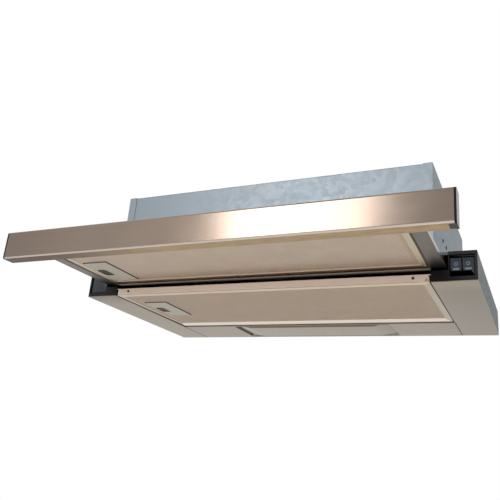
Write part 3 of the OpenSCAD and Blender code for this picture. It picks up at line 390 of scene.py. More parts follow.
MATERIALS = {
    "galvanised_steel": galvanised("galvanised_steel", (0.215, 0.245, 0.270), roughness=0.5),
    "stainless_steel": brushed("stainless_steel", (0.36, 0.295, 0.25), grain=STEEL_LINES),
    # The fascia's slopes are a painted reflection: darker at the left end, lighter from x -150 to 60,
    # darkest past x 150.
    "fascia_steel": brushed("fascia_steel", (0.207, 0.162, 0.132), grain=STEEL_LINES, roughness=0.17,
                            painted_reflection_slopes=((-290, -150, 0.45), (60, 150, -0.55))),
    "bright_steel": brushed("bright_steel", (0.62, 0.61, 0.60), grain=(0.5, 30, 0.5), roughness=0.3),
    "cream_paint": painted("cream_paint", (0.66, 0.55, 0.48)),
    "black_plastic": plastic("black_plastic", (0.004, 0.004, 0.005), roughness=0.45,
                             specular_ior_level=0.2),
    "gloss_black": plastic("gloss_black", (0.003, 0.003, 0.004), roughness=0.2, depth=0.005,
                           specular_ior_level=0.15),
    "switch_black": plastic("switch_black", (0.010, 0.014, 0.022), roughness=0.25, depth=0.008),
    "dark_fixing": cast_metal("dark_fixing", (0.10, 0.10, 0.11), roughness=0.4, size=0.5),
    "collar_plastic": plastic("collar_plastic", (0.05, 0.05, 0.055), roughness=0.5),
    "scroll_plastic": plastic("scroll_plastic", (0.60, 0.60, 0.58), roughness=0.5),
    "wheel_plastic": plastic("wheel_plastic", (0.30, 0.31, 0.32), roughness=0.45),
    "motor_aluminium": cast_metal("motor_aluminium", (0.60, 0.60, 0.61), roughness=0.42),
    "stator_iron": wound("stator_iron", (0.62, 0.26, 0.10), (0.12, 0.12, 0.13)),
    "bronze": cast_metal("bronze", (0.60, 0.40, 0.16), roughness=0.4, size=0.3),
    "capacitor_case": plastic("capacitor_case", (0.72, 0.72, 0.70), roughness=0.3, depth=0.01),
    "wire_sheath": plastic("wire_sheath", (0.10, 0.10, 0.11), roughness=0.5, texture=1.2, depth=0.1),
    "lamp_white": painted("lamp_white", (0.80, 0.78, 0.72)),
    "holder_ceramic": plastic("holder_ceramic", (0.80, 0.76, 0.66), roughness=0.3, depth=0.01),
    "bulb_glass": plastic("bulb_glass", (0.92, 0.88, 0.78), roughness=0.2, depth=0.005),
    "lens_plastic": fluted("lens_plastic", (0.13, 0.095, 0.035)),
    "filter_aluminium": brushed("filter_aluminium", (0.62, 0.51, 0.41), grain=ACROSS_LINES,
                                roughness=0.34),
    "mesh_aluminium": mesh_metal("mesh_aluminium", (0.50, 0.40, 0.30)),
    "handle_plastic": plastic("handle_plastic", (0.32, 0.30, 0.25), roughness=0.4, depth=0.02),
    "latch_plastic": plastic("latch_plastic", (0.050, 0.036, 0.012), roughness=0.45),
}
# The fascia's underside: fine spots in the sheet, and a painted reflection in its colour, dark brown at
# the left end going to golden brown at the right.
FASCIA_UNDER = speckled("fascia_underside", (0.08, 0.042, 0.022), (0.38, 0.27, 0.145), -250, -20)
# A lighter copy of the fascia's steel on its rounded bottom front edge: a painted highlight.
FASCIA_EDGE_HIGHLIGHT = brushed("fascia_edge_highlight", (0.57, 0.50, 0.45), grain=STEEL_LINES, roughness=0.3)
# Painted shade inside the handles' finger recesses.
RECESS_SHADE = plastic("recess_shade", (0.022, 0.016, 0.007), roughness=0.5, specular_ior_level=0.2)
FILTER_SIDE = brushed("filter_side", (0.53, 0.46, 0.35), grain=ACROSS_LINES, roughness=0.36)
REAR_MESH = brushed("rear_mesh", (0.50, 0.40, 0.30), grain=(3, 3, 3), roughness=0.3)
# The main filter's rear band: painted highlight and painted shade.
REAR_BAND = rear_band("rear_band", (0.85, 0.76, 0.68), (0.36, 0.29, 0.235))
MAIN_SIDE = brushed("main_side", (0.45, 0.40, 0.33), grain=ACROSS_LINES, roughness=0.36)
STRAND = cast_metal("mesh_strand", (0.54, 0.42, 0.32), roughness=0.3, size=0.6)
VISOR_STRAND = cast_metal("visor_strand", (0.70, 0.58, 0.48), roughness=0.3, size=0.6)
CAP_SCREW = cast_metal("bulb_cap", (0.66, 0.62, 0.52), roughness=0.32, size=0.4)
CONTACT = cast_metal("contact_brass", (0.62, 0.45, 0.18), roughness=0.35, size=0.3)
LEGEND = painted("legend_blue", (0.10, 0.14, 0.19))
INSERT_GLOSS = plastic("insert_gloss", (0.006, 0.008, 0.012), roughness=0.2, depth=0.004)
RAIL_SHADE = brushed("rail_shade", (0.155, 0.137, 0.124), grain=(0.5, 30, 0.5), roughness=0.35)
PANEL = panel_steel("panel_steel", (0.272, 0.226, 0.178), CAD_FRONT)
SHELL = galvanised("shell_steel", (0.060, 0.072, 0.080), roughness=0.5)
# The visor pan's rolled edge: painted highlight and painted shade.
ROLLED = rolled_edge("rolled_edge", (0.80, 0.74, 0.68))
# A darker galvanised steel for the box's side faces than for its other faces: painted shade.
BOX_SIDE_SHADE = galvanised("box_side_shade", (0.165, 0.205, 0.230), roughness=0.5)
# The lamp cover's front seam, darkened as painted shade.
LAMP_SEAM_SHADE = plastic("lamp_seam_shade", (0.05, 0.034, 0.02), roughness=0.6)
# Dark seams, also used as painted shade: in the gaps beside the main filter, on the visor pan's lower
# outer edges and in the handles' shadow lines.
SEAM_AND_SHADE = plastic("dark_seam_and_shade", (0.03, 0.024, 0.016), roughness=0.6)
# Black rubber, also used as painted shade in the motor can's vents.
RUBBER_AND_VENT_SHADE = plastic("rubber", (0.02, 0.02, 0.022), roughness=0.65)


# Shapes, in millimetres of the row frame

def extent(node):
    """The lowest and highest corner of a CAD node."""
    return tuple(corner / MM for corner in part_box(node))


def islands(node):
    """The lowest and highest corner of each separate part of a CAD node."""
    mesh = NODES[node].data
    group = list(range(len(mesh.vertices)))

    def root(i):
        while group[i] != i:
            group[i] = group[group[i]]
            i = group[i]
        return i

    places = {}
    for v in mesh.vertices:
        first = places.setdefault(tuple(round(c, 6) for c in v.co), v.index)
        group[root(v.index)] = root(first)
    for edge in mesh.edges:
        a, b = edge.vertices
        group[root(a)] = root(b)
    corners = {}
    for v in mesh.vertices:
        corners.setdefault(root(v.index), []).append(v.co / MM)
    return [(Vector(map(min, zip(*c))), Vector(map(max, zip(*c)))) for c in corners.values()]


def skin(bm, loops, closed=True, caps=False, index=0):
    """Join loops of points, each to the next, with quads."""
    rows = [[bm.verts.new(p) for p in loop] for loop in loops]
    count = len(rows[0])
    faces = []
    for a, b in zip(rows, rows[1:]):
        for i in range(count if closed else count - 1):
            j = (i + 1) % count
            faces.append(bm.faces.new((a[i], a[j], b[j], b[i])))
    if caps:
        faces += [bm.faces.new(rows[0][::-1]), bm.faces.new(rows[-1])]
    for face in faces:
        face.material_index = index
    return rows


def lathe(bm, at, axis, profile, segments=32, index=0):
    """Turn a profile of (distance along the axis, radius) round an axis through at."""
    turn = Vector((0, 0, 1)).rotation_difference(Vector(axis)).to_matrix()
    angles = [2 * pi * i / segments for i in range(segments)]
    loops = [[Vector(at) + turn @ Vector((r * cos(a), r * sin(a), h)) for a in angles] for h, r in profile]
    skin(bm, loops, caps=True, index=index)


def block(bm, low, high, edge=0.3, index=0):
    """A box between two corners, with rounded edges."""
    low, high = Vector(low), Vector(high)
    verts = bmesh.ops.create_cube(bm, size=1)["verts"]
    for v in verts:
        v.co = [low[k] + (high[k] - low[k]) * (v.co[k] + 0.5) for k in range(3)]
    faces = {f for v in verts for f in v.link_faces}
    for face in faces:
        face.material_index = index
    edges = list({e for f in faces for e in f.edges})
    bmesh.ops.bevel(bm, geom=edges, offset=edge, segments=2, profile=0.5, affect="EDGES",
                    clamp_overlap=True)


def new_piece(name, bm, material, node, replaces=False, others=(), unit=MM, angle=35):
    """Turn a bmesh into an object that rides with a CAD node's body, in the given materials."""
    bmesh.ops.scale(bm, vec=(unit,) * 3, verts=bm.verts)
    bmesh.ops.recalc_face_normals(bm, faces=bm.faces)
    for face in bm.faces:
        face.smooth = True
    for edge in bm.edges:
        edge.smooth = not (edge.is_manifold and edge.calc_face_angle(0) > radians(angle))
    mesh = bpy.data.meshes.new(name)
    bm.to_mesh(mesh)
    bm.free()
    for each in (material, *others):
        mesh.materials.append(each.data)
    piece = bpy.data.objects.new(name, mesh)
    bpy.context.scene.collection.objects.link(piece)
    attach(piece, BODY_OF[node])
    if replaces:
        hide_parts(node)
    return piece


def look(node, bm, *others):
    """A modelled piece in place of a CAD node, in its own material."""
    new_piece(node + "_look", bm, MATERIALS[SLOT_OF[node]], node, True, others)


SHORTEST_BEVELLED = 2.4


def dressed(node, edge=0.3, others=(), choose=None, segments=2, angle=30, material=None):
    """A copy of a CAD node with its edges rounded, in place of the node.

    choose(centre, normal) gives the number of a face's material: 0 is the given material, else the node's
    own, then others."""
    bm = bmesh.new()
    bm.from_mesh(NODES[node].data)
    bmesh.ops.remove_doubles(bm, verts=bm.verts, dist=1e-6)
    bmesh.ops.dissolve_limit(bm, angle_limit=radians(0.5), verts=bm.verts, edges=bm.edges)
    sharp = [e for e in bm.edges if e.is_manifold and e.calc_face_angle(0) > radians(angle)
             and e.calc_length() > SHORTEST_BEVELLED * edge * MM]
    bmesh.ops.bevel(bm, geom=sharp, offset=edge * MM, segments=segments, profile=0.5, affect="EDGES",
                    clamp_overlap=True)
    bmesh.ops.recalc_face_normals(bm, faces=bm.faces)
    if choose:
        for face in bm.faces:
            face.material_index = choose(face.calc_center_median() / MM, face.normal)
    piece = new_piece(node + "_look", bm, material or MATERIALS[SLOT_OF[node]], node, True, others, unit=1)
    modifier = piece.modifiers.new("weighted_normals", "WEIGHTED_NORMAL")
    modifier.keep_sharp = True
    return piece


EDGES = {
    "front_lip": 0.3, "left_corner_block": 0.7, "right_corner_block": 0.7, "switch_module": 0.6,
    "upper_box_front": 0.25, "upper_box_top": 0.25, "upper_box_back": 0.25,
    "scroll_left_half": 0.4, "scroll_right_half": 0.4, "duct_collar": 0.4, "lamp_tray": 0.3,
    "left_fixed_rail": 0.25, "right_fixed_rail": 0.25, "microswitch": 0.3, "end_caps": 0.5,
    "visor_latch": 0.3, "main_latch": 0.3, "light_rocker": 0.5, "fan_rocker": 0.5,
    "front_flap": 0.2, "rear_flap": 0.2, "microswitch_lever": 0.15, "motor_can": 1.2,
    "motor_bracket": 0.4, "capacitor_clip": 0.2, "impeller": 0.3, "impeller_blades": 0.15,
    "motor_bearings": 0.4, "lamp_cover": 0.6,
}
PLAIN = ["motor_stator", "motor_shaft", "switch_pivot_rod", "left_ball_cage", "right_ball_cage",
         "wiring_loom"]


# Filters

PIN_REACH = 1.2
FRONT_BAND = 8
FOLD = 1.2
LATTICE = (7.0, 3.4)
STRAND_SHARE = 0.32
STRAND_DEPTH = 0.12
HANDLE_GAP = 1.0
VISOR_RUN, VISOR_RISE = 1, 0.15
SIDE_BAND = 8.5
PIN_INSET = 4
PIN_LIFT = {"main_filter_frame": 3.5, "visor_filter_frame": 2.0}
PIN_PROFILE = ((0, 1.1), (0.3, 1.5), (2 * PIN_REACH, 1.5))
BAND_STEPS = (0, 0.01, 0.025, 0.05, 0.08, 0.12, 0.17, 0.23, 0.3, 0.38, 0.47, 0.57, 0.68, 0.8)
BAND_FOLD = ((0.93, 0.15), (0.98, 0.5), (1.0, 1.1), (1.0, 3.0))


def curve_up(distance, run, rise):
    """How far a quarter ellipse lifts a face at a distance from its edge."""
    return rise * (1 - max(1 - (1 - distance / run) ** 2, 0) ** 0.5) if distance < run else 0


def filter_frame(node, side_band, rear_band, rear_run, rear_rise, rear_index):
    """A filter's frame of folded sheet, mitred at its corners. Its wider rear band curves up."""
    low, high = extent(node)
    y0, y1 = low.y + PIN_REACH, high.y - PIN_REACH
    x0, x1 = low.x, high.x
    bottom, top = low.z, high.z

    def raised(x, y):
        """How far the rounding of the outer edges lifts the underside at a place."""
        sides = max(curve_up(d, FOLD, FOLD) for d in (x - x0, x1 - x, y - y0))
        return max(sides, curve_up(y1 - y, rear_run, rear_rise))

    loops = []
    under = [(s, 0) for s in BAND_STEPS]
    for share, lift in [(0, None), *under, *BAND_FOLD, (0.97, None), (0, None)]:
        a, b = x0 + side_band * share, x1 - side_band * share
        c, d = y0 + FRONT_BAND * share, y1 - rear_band * share
        corners = [(a, c), (b, c), (b, d), (a, d)]
        loops.append([Vector((x, y, top if lift is None else bottom + lift + raised(x, y)))
                      for x, y in corners])
    bm = bmesh.new()
    skin(bm, loops)
    bmesh.ops.remove_doubles(bm, verts=bm.verts, dist=1e-4)
    for face in bm.faces:
        centre = face.calc_center_median()
        if abs(centre.x) < x1 - side_band / 2 - 1 and centre.y > y1 - rear_band:
            face.material_index = rear_index
        elif abs(centre.x) > x1 - side_band:
            face.material_index = 1 if rear_index == 2 else 4
    for y in (low.y, y1 - PIN_REACH):
        lathe(bm, (x1 - PIN_INSET, y, bottom + PIN_LIFT[node]), (0, 1, 0), PIN_PROFILE, 20)
    new_piece(node + "_look", bm, MATERIALS["filter_aluminium"], node, True,
              (FILTER_SIDE, REAR_MESH, REAR_BAND, MAIN_SIDE))


def lattice(bm, low, high, z, up, hole):
    """Expanded metal: diamonds whose strands stand out from z by STRAND_DEPTH, up or down."""
    half_x, half_y = LATTICE[0] / 2, LATTICE[1] / 2
    columns = int((high.x - low.x) / half_x)
    rows = int((high.y - low.y) / half_y)
    inner = 1 - STRAND_SHARE
    for i in range(1, columns):
        for j in range(1 + (i + 1) % 2, rows, 2):
            x, y = low.x + i * half_x, low.y + j * half_y
            if hole[0].x < x < hole[1].x and hole[0].y < y < hole[1].y:
                continue
            ends = [(half_x, 0), (0, half_y), (-half_x, 0), (0, -half_y)]
            skin(bm, [[(x + a, y + b, z) for a, b in ends],
                      [(x + inner * a, y + inner * b, z + up * STRAND_DEPTH) for a, b in ends]])


MESH_OVERLAP = 0.3
LAYERS_IN = 1.1
LATTICE_IN = 0.15


def filter_mesh(node, frame_node, handle_node):
    """The layers inside a filter: a lattice below and one above, with finer layers between them."""
    low, high = extent(node)
    outer = extent(frame_node)[1].x
    low.x, high.x = -outer + SIDE_BAND - MESH_OVERLAP, outer - SIDE_BAND + MESH_OVERLAP
    hole = extent(handle_node)
    bm = bmesh.new()
    block(bm, (low.x, low.y, low.z + LAYERS_IN), (high.x, high.y, high.z - LAYERS_IN), 0.2)
    new_piece(node + "_layers", bm, MATERIALS["mesh_aluminium"], node, True)
    for name, z, up in (("lower", low.z + LATTICE_IN, 1), ("upper", high.z - LATTICE_IN, -1)):
        bm = bmesh.new()
        lattice(bm, low, high, z, up, hole)
        bmesh.ops.remove_doubles(bm, verts=bm.verts, dist=1e-3)
        if up > 0 and node.startswith("visor"):
            edge = extent(frame_node)[1].y - PIN_REACH
            for v in bm.verts:
                v.co.z += curve_up(edge - v.co.y, VISOR_RUN, VISOR_RISE)
        strand = VISOR_STRAND if node.startswith("visor") else STRAND
        new_piece(node + "_" + name, bm, strand, node, angle=180)


PLATE_RIM = 0.6
HOLLOW_INSET = 3
RECESS_PROFILE = ((0.97, 0.25), (0.95, 1.0), (0.88, 1.8), (0.6, 2.3), (0.1, 2.5))
RECESS_POINTS = 36
SEAM_IN, SEAM_H = 0.35, 1.2
SEAM_SHARE = 0.4


def handle_plate(node):
    """A moulded handle plate: the inside of the recess and a liner in it are painted shade, and a dark
    seam runs round the plate, widest on the right, where it is painted shadow.
    """
    low, high = extent(node)

    def in_plan(q, inset):
        return low.x + inset < q.x < high.x - inset and low.y + inset < q.y < high.y - inset

    def inside(centre, normal):
        recessed = low.z + PLATE_RIM < centre.z < high.z - PLATE_RIM and abs(normal.z) < 0.99
        roof = normal.z < -0.9 and centre.z > low.z + HOLLOW_INSET
        return int(in_plan(centre, PLATE_RIM) and (recessed or roof))

    # Faces inside the recess take painted shade.
    dressed(node, 0.5, (RECESS_SHADE,), inside)
    points = [v.co / MM for v in NODES[node].data.vertices]
    hollow = [q for q in points if in_plan(q, HOLLOW_INSET)]
    a, b = min(q.x for q in hollow), max(q.x for q in hollow)
    c, d = min(q.y for q in hollow), max(q.y for q in hollow)
    radius, centre = (b - a) / 2, Vector(((a + b) / 2, (c + d) / 2, low.z))
    reach = (d - c) / 2 - radius
    # A dark liner in the recess: painted shade.
    bm = bmesh.new()
    loops = []
    for share, depth in RECESS_PROFILE:
        loops.append([centre + Vector((share * radius * cos(u), share * radius * sin(u)
                                       + copysign(reach, sin(u)) * share, depth))
                      for u in (pi * (2 * k + 1) / RECESS_POINTS for k in range(RECESS_POINTS))])
    skin(bm, loops, caps=True)
    new_piece(node + "_recess", bm, RECESS_SHADE, node)
    # A dark seam round the plate, widest on the right, where it is painted shadow.
    bm = bmesh.new()
    z, narrow = low.z + SEAM_IN, HANDLE_GAP * SEAM_SHARE
    for a, b in (((high.x, low.y), (high.x + HANDLE_GAP, high.y)),
                 ((low.x - narrow, low.y), (low.x, high.y)),
                 ((low.x, low.y - narrow), (high.x, low.y)),
                 ((low.x, high.y), (high.x, high.y + narrow))):
        block(bm, (*a, z), (*b, z + SEAM_H), 0.1)
    new_piece(node + "_seam", bm, SEAM_AND_SHADE, node)


def filters():
    filter_frame("main_filter_frame", SIDE_BAND, 26, 26, 2.5, 3)
    filter_frame("visor_filter_frame", SIDE_BAND, 14, VISOR_RUN, VISOR_RISE, 2)
    for kind in ("main", "visor"):
        filter_mesh(kind + "_filter_mesh", kind + "_filter_frame", kind + "_filter_handle")
        handle_plate(kind + "_filter_handle")


# Screws and rivets

SCREW_HEAD, FASCIA_HEAD, RIVET_HEAD = 1.4, 1.8, 0.5
HEAD_RINGS = (0.05, 0.14, 0.2, 0.35, 0.5, 0.6, 0.66, 0.8, 0.92, 1.0)
HEAD_SEGMENTS = 48
ARM_WIDTH, ARM_REACH, ARM_DEPTH = 0.17, 0.63, 0.55
RIVET_SHANK = 0.6
RIVET_DOME = ((0, 1), (0.18, 0.97), (0.32, 0.8), (0.38, 0.5), (0.4, 0.3), (0.25, 0.22))


def cross_head(bm, at, axis, radius, height, index=0):
    """A domed head with a cross recess."""
    turn = Vector((0, 0, 1)).rotation_difference(Vector(axis)).to_matrix()
    angles = [2 * pi * i / HEAD_SEGMENTS for i in range(HEAD_SEGMENTS)]
    loops = []
    for share in HEAD_RINGS:
        loop = []
        for a in angles:
            x, y = share * radius * cos(a), share * radius * sin(a)
            arm = min(abs(x), abs(y)) < ARM_WIDTH * radius and share < ARM_REACH
            h = height * (1 - 0.45 * share ** 2) - (ARM_DEPTH * height if arm else 0)
            loop.append(Vector(at) + turn @ Vector((x, y, h)))
        loops.append(loop)
    loops.append([Vector(at) + turn @ Vector((radius * cos(a), radius * sin(a), 0)) for a in angles])
    skin(bm, loops, caps=True, index=index)


def fixings():
    """Heads and shanks for each screw and rivet, at the places of the CAD ones."""
    bm = bmesh.new()
    for low, high in islands("small_screws"):
        middle = (low + high) / 2
        if high.x - low.x > high.z - low.z:
            radius, depth = (high.y - low.y) / 2, high.x - low.x
            at, axis = Vector((high.x - SCREW_HEAD, middle.y, middle.z)), Vector((1, 0, 0))
        else:
            radius, depth = (high.x - low.x) / 2, high.z - low.z
            at, axis = Vector((middle.x, middle.y, high.z - SCREW_HEAD)), Vector((0, 0, 1))
        cross_head(bm, at, axis, radius, SCREW_HEAD)
        lathe(bm, at, -axis, thread(radius * 0.45, radius * 0.53, depth - SCREW_HEAD), 20)
    new_piece("small_screws_look", bm, MATERIALS["dark_fixing"], "small_screws", True)

    bm = bmesh.new()
    for low, high in islands("fascia_screws"):
        middle = (low + high) / 2
        radius = (high.x - low.x) / 2
        at = Vector((middle.x, high.y - FASCIA_HEAD, middle.z))
        cross_head(bm, at, (0, 1, 0), radius, FASCIA_HEAD)
        lathe(bm, at, (0, -1, 0), thread(radius * 0.5, radius * 0.58, at.y - low.y), 20)
    look("fascia_screws", bm)

    bm = bmesh.new()
    for low, high in islands("rivets"):
        middle = (low + high) / 2
        radius = (high.x - low.x) / 2
        if high.y - low.y < high.z - low.z:
            axis, at = Vector((0, -1, 0)), Vector((middle.x, low.y + RIVET_HEAD, middle.z))
            depth = high.y - low.y
        else:
            axis, at = Vector((0, 0, 1)), Vector((middle.x, middle.y, high.z - RIVET_HEAD))
            depth = high.z - low.z
        shank = [(RIVET_HEAD - depth, radius * RIVET_SHANK), (0, radius * RIVET_SHANK)]
        dome = [(h, radius * share) for h, share in RIVET_DOME]
        lathe(bm, at, axis, shank + dome + [(RIVET_DOME[-1][0], 0.05)], 32)
    new_piece("rivets_look", bm, MATERIALS["dark_fixing"], "rivets", True)


def thread(core, crest, depth, pitch=0.8):
    """The profile of a threaded shank, with a short point."""
    turns = int(depth / pitch)
    profile = [(0, crest)]
    for i in range(turns):
        profile += [((i + 0.5) * pitch, core), ((i + 1) * pitch, crest)]
    return profile + [(depth, core * 0.6)]


# Fascia

def fascia():
    def side(centre, normal):
        if normal.z < -0.9:
            return 1
        return 2 if normal.z < -0.25 and normal.y < -0.2 else 0

    # Faces facing down take the underside's painted reflection; the rounded bottom front edge takes a
    # painted highlight.
    dressed("fascia_bar", 0.2, (FASCIA_UNDER, FASCIA_EDGE_HIGHLIGHT), side)


# Switches and the blank insert

RING_OUT, RING_IN, RING_UP, RING_SEGMENTS = 2.4, 1.4, 4.2, 28
BAR_HALF, BAR_Z = 3.8, (-3.4, -1.2)
ROCKER_TILT, ROCKER_BACK, ROCKER_HALF = 6, 9, 11
ROCKER_PROUD, ROCKER_DISH, LEGEND_CLEAR, LEGEND_T = 7, 0.8, 0.03, 0.06


def legend(node):
    """A ring above a wide bar, on a rocker's face."""
    low, high = extent(node)
    middle = (low + high) / 2
    tilt = radians(ROCKER_TILT)
    out = Vector((0, -cos(tilt), -sin(tilt)))
    up = Vector((0, -sin(tilt), cos(tilt)))
    centre = Vector((middle.x, extent("right_corner_block")[0].y + ROCKER_BACK, middle.z))
    bm = bmesh.new()

    def face_point(x, z):
        """A point on the rocker's dished face."""
        proud = ROCKER_PROUD - ROCKER_DISH * (1 - abs(z) / ROCKER_HALF) + LEGEND_CLEAR
        return centre + Vector((x, 0, 0)) + up * z + out * proud

    for i in range(RING_SEGMENTS):
        a, b = (2 * pi * k / RING_SEGMENTS for k in (i, i + 1))
        ring = ((RING_OUT, a), (RING_OUT, b), (RING_IN, b), (RING_IN, a))
        corners = [(r * cos(t), RING_UP + r * sin(t)) for r, t in ring]
        bm.faces.new([bm.verts.new(face_point(x, z)) for x, z in corners])
    z0, z1 = BAR_Z
    corners = ((-BAR_HALF, z0), (BAR_HALF, z0), (BAR_HALF, z1), (-BAR_HALF, z1))
    bm.faces.new([bm.verts.new(face_point(x, z)) for x, z in corners])
    bmesh.ops.remove_doubles(bm, verts=bm.verts, dist=1e-3)
    bmesh.ops.solidify(bm, geom=bm.faces[:], thickness=LEGEND_T)
    new_piece(node + "_legend", bm, LEGEND, node)


def blank_insert():
    """The left block's insert: a glossy plate with a rounded frame."""
    low, high = extent("blank_insert")
    bm = bmesh.new()
    block(bm, (low.x, low.y + 0.4, low.z), (high.x, high.y, high.z), 0.4)
    block(bm, (low.x + 1.5, low.y, low.z + 1.5), (high.x - 1.5, low.y + 1.0, high.z - 1.5), 0.35, 1)
    new_piece("blank_insert_look", bm, MATERIALS["black_plastic"], "blank_insert", True,
              (INSERT_GLOSS,))


# Lamp

NOTCH_X, NOTCH_HALF = 14, 6
HOLDER_L, HOLDER_RIB = 26, 0.6
CONTACT_AT, CONTACT_UP = 13, 5
CAP_PITCH, CAP_CREST, CAP_ROOT, CAP_TURNS = 0.55, 6.8, 6.1, 20
NECK_PROFILE = ((1.5, 6.5), (-0.5, 6.9), (-2.5, 8.2), (-5, 10))


def lamp():
    """The cover's notch, and a ribbed holder and a screw-cap bulb at each end of the tray."""
    low, high = extent("lamp_cover")
    bm = bmesh.new()
    block(bm, (NOTCH_X - NOTCH_HALF, low.y + 0.2, high.z - 3.2),
          (NOTCH_X + NOTCH_HALF, low.y + 1.4, high.z - 0.2), 0.2)
    new_piece("lamp_cover_notch", bm, SEAM_AND_SHADE, "lamp_cover")

    low, high = extent("lamp_holders")
    axis_y, axis_z = (low.y + high.y) / 2, (low.z + high.z) / 2
    outer, radius, length = high.x, (high.z - low.z) / 2, HOLDER_L
    neck = radius - HOLDER_RIB
    bulb_low, bulb_high = extent("lamp_bulbs")
    glass = (bulb_high.z - bulb_low.z) / 2
    bulb_inner = min(abs(c) for low_c, high_c in islands("lamp_bulbs") for c in (low_c.x, high_c.x))
    holders, bulbs = bmesh.new(), bmesh.new()
    for side in (-1, 1):
        base = Vector((side * (outer - length), axis_y, axis_z))
        lathe(holders, base, (side, 0, 0),
              [(16, 7), (0.3, 7), (0, 7.4), (0, radius - 0.8), (0.8, radius), (5, radius), (5.4, neck),
               (6.6, neck), (7, radius), (12, radius), (12.4, neck), (13.6, neck), (14, radius),
               (length - HOLDER_RIB, radius), (length, neck)], 40)
        x = base.x + side * CONTACT_AT
        for z in (axis_z - CONTACT_UP, axis_z + CONTACT_UP):
            block(holders, (x - 1.6, axis_y + radius - 1.4, z - 1.5),
                  (x + 1.6, axis_y + radius - 0.1, z + 1.5), 0.2, 1)
        cap = [(14, 3.2), (13.2, 5.2)]
        cap += [(13 - CAP_PITCH * i, CAP_CREST if i % 2 else CAP_ROOT) for i in range(CAP_TURNS)]
        lathe(bulbs, base, (side, 0, 0), cap + [(1.2, CAP_CREST), (0, CAP_CREST)], 36, 1)
        reach = abs(base.x) - bulb_inner
        angles = [k * pi / 20 for k in range(10)]
        dome = [(-(reach - glass) - glass * sin(t), glass * cos(t)) for t in angles]
        lathe(bulbs, base, (side, 0, 0), [*NECK_PROFILE, (-8, glass), *dome, (-reach, 0.1)], 40)
    look("lamp_holders", holders, CONTACT)
    look("lamp_bulbs", bulbs, CAP_SCREW)


# Electrical parts

def capacitor():
    """A rolled can with two flat contacts at its front end."""
    low, high = extent("capacitor")
    radius = (high.x - low.x) / 2
    at = Vector(((low.x + high.x) / 2, low.y, (low.z + high.z) / 2))
    length = high.y - low.y
    bm = bmesh.new()
    lathe(bm, at, (0, 1, 0),
          [(3, 0.1), (3, radius - 3), (0.6, radius - 2.2), (0, radius - 1.2), (0.4, radius - 0.2),
           (1.2, radius), (length - 2, radius), (length - 0.6, radius - 0.6), (length, radius - 2),
           (length, 0.1)], 48)
    for x in (-5, 5):
        block(bm, (at.x + x - 0.4, low.y + 0.3, at.z - 3), (at.x + x + 0.4, low.y + 3.2, at.z + 3), 0.1, 1)
    look("capacitor", bm, CONTACT)


def terminal_box():
    """A lidded box: the lid overlaps the base, with a rib at each end and two cable entries."""
    low, high = extent("terminal_box")
    split = low.x + (high.x - low.x) * 0.35
    bm = bmesh.new()
    block(bm, (split, low.y + 0.8, low.z + 0.8), (high.x, high.y - 0.8, high.z - 0.8), 0.8)
    block(bm, (low.x, low.y, low.z), (split + 2, high.y, high.z), 1.2)
    for y in (low.y + 8, high.y - 8):
        block(bm, (split + 1, y - 3, low.z + 0.2), (split + 9, y + 3, low.z + 2), 0.4)
        block(bm, (split + 1, y - 3, high.z - 2), (split + 9, y + 3, high.z - 0.2), 0.4)
    for y in (low.y + 20, low.y + 44):
        lathe(bm, (low.x + 10, y, high.z - 1.2), (0, 0, 1), [(0, 5), (0.8, 5), (1.2, 4.6), (1.2, 0.1)], 28)
    look("terminal_box", bm)


GLAND_BORE, GLAND_RIBS, GLAND_RIB_R = 4.2, 12, 8.2


def cable_gland():
    """A gland: hexagon nut below, ribbed clamping dome above, and its rubber sleeve."""
    low, high = extent("cable_gland")
    at = Vector(((low.x + high.x) / 2, (low.y + high.y) / 2, low.z))
    top = high.z - low.z
    bore = GLAND_BORE
    bm = bmesh.new()
    lathe(bm, at, (0, 0, 1), [(0, bore), (0, 8.4), (0.5, 8.9), (2.6, 8.9), (3, 8.4), (3, bore)], 6)
    lathe(bm, at, (0, 0, 1), [(2.5, bore), (2.5, 6), (3.8, 6), (3.8, 9), (7, 9), (7.4, 8.6), (11, 8.4),
                              (13, 7.6), (14.6, 6.2), (top, 5.2), (top, bore + 0.6)], 48)
    for i in range(GLAND_RIBS):
        a = 2 * pi * i / GLAND_RIBS
        middle = at + Vector((GLAND_RIB_R * cos(a), GLAND_RIB_R * sin(a), 0))
        block(bm, middle + Vector((-0.7, -0.7, 7.6)), middle + Vector((0.7, 0.7, 11.4)), 0.3)
    lathe(bm, at, (0, 0, 1), [(2, bore), (2, bore + 1), (top - 0.6, bore + 1), (top - 0.3, bore + 0.7),
                              (top - 0.6, bore)], 40, 1)
    look("cable_gland", bm, RUBBER_AND_VENT_SHADE)


# Ribs and vents on larger mouldings

FLAP_RIBS, FLAP_R = (-36, -18, 0, 18, 36), 56.5
VENT_ROWS, VENTS_IN_ROW, VENT_PITCH, FIRST_VENT = 10, 5, 3, 0.42


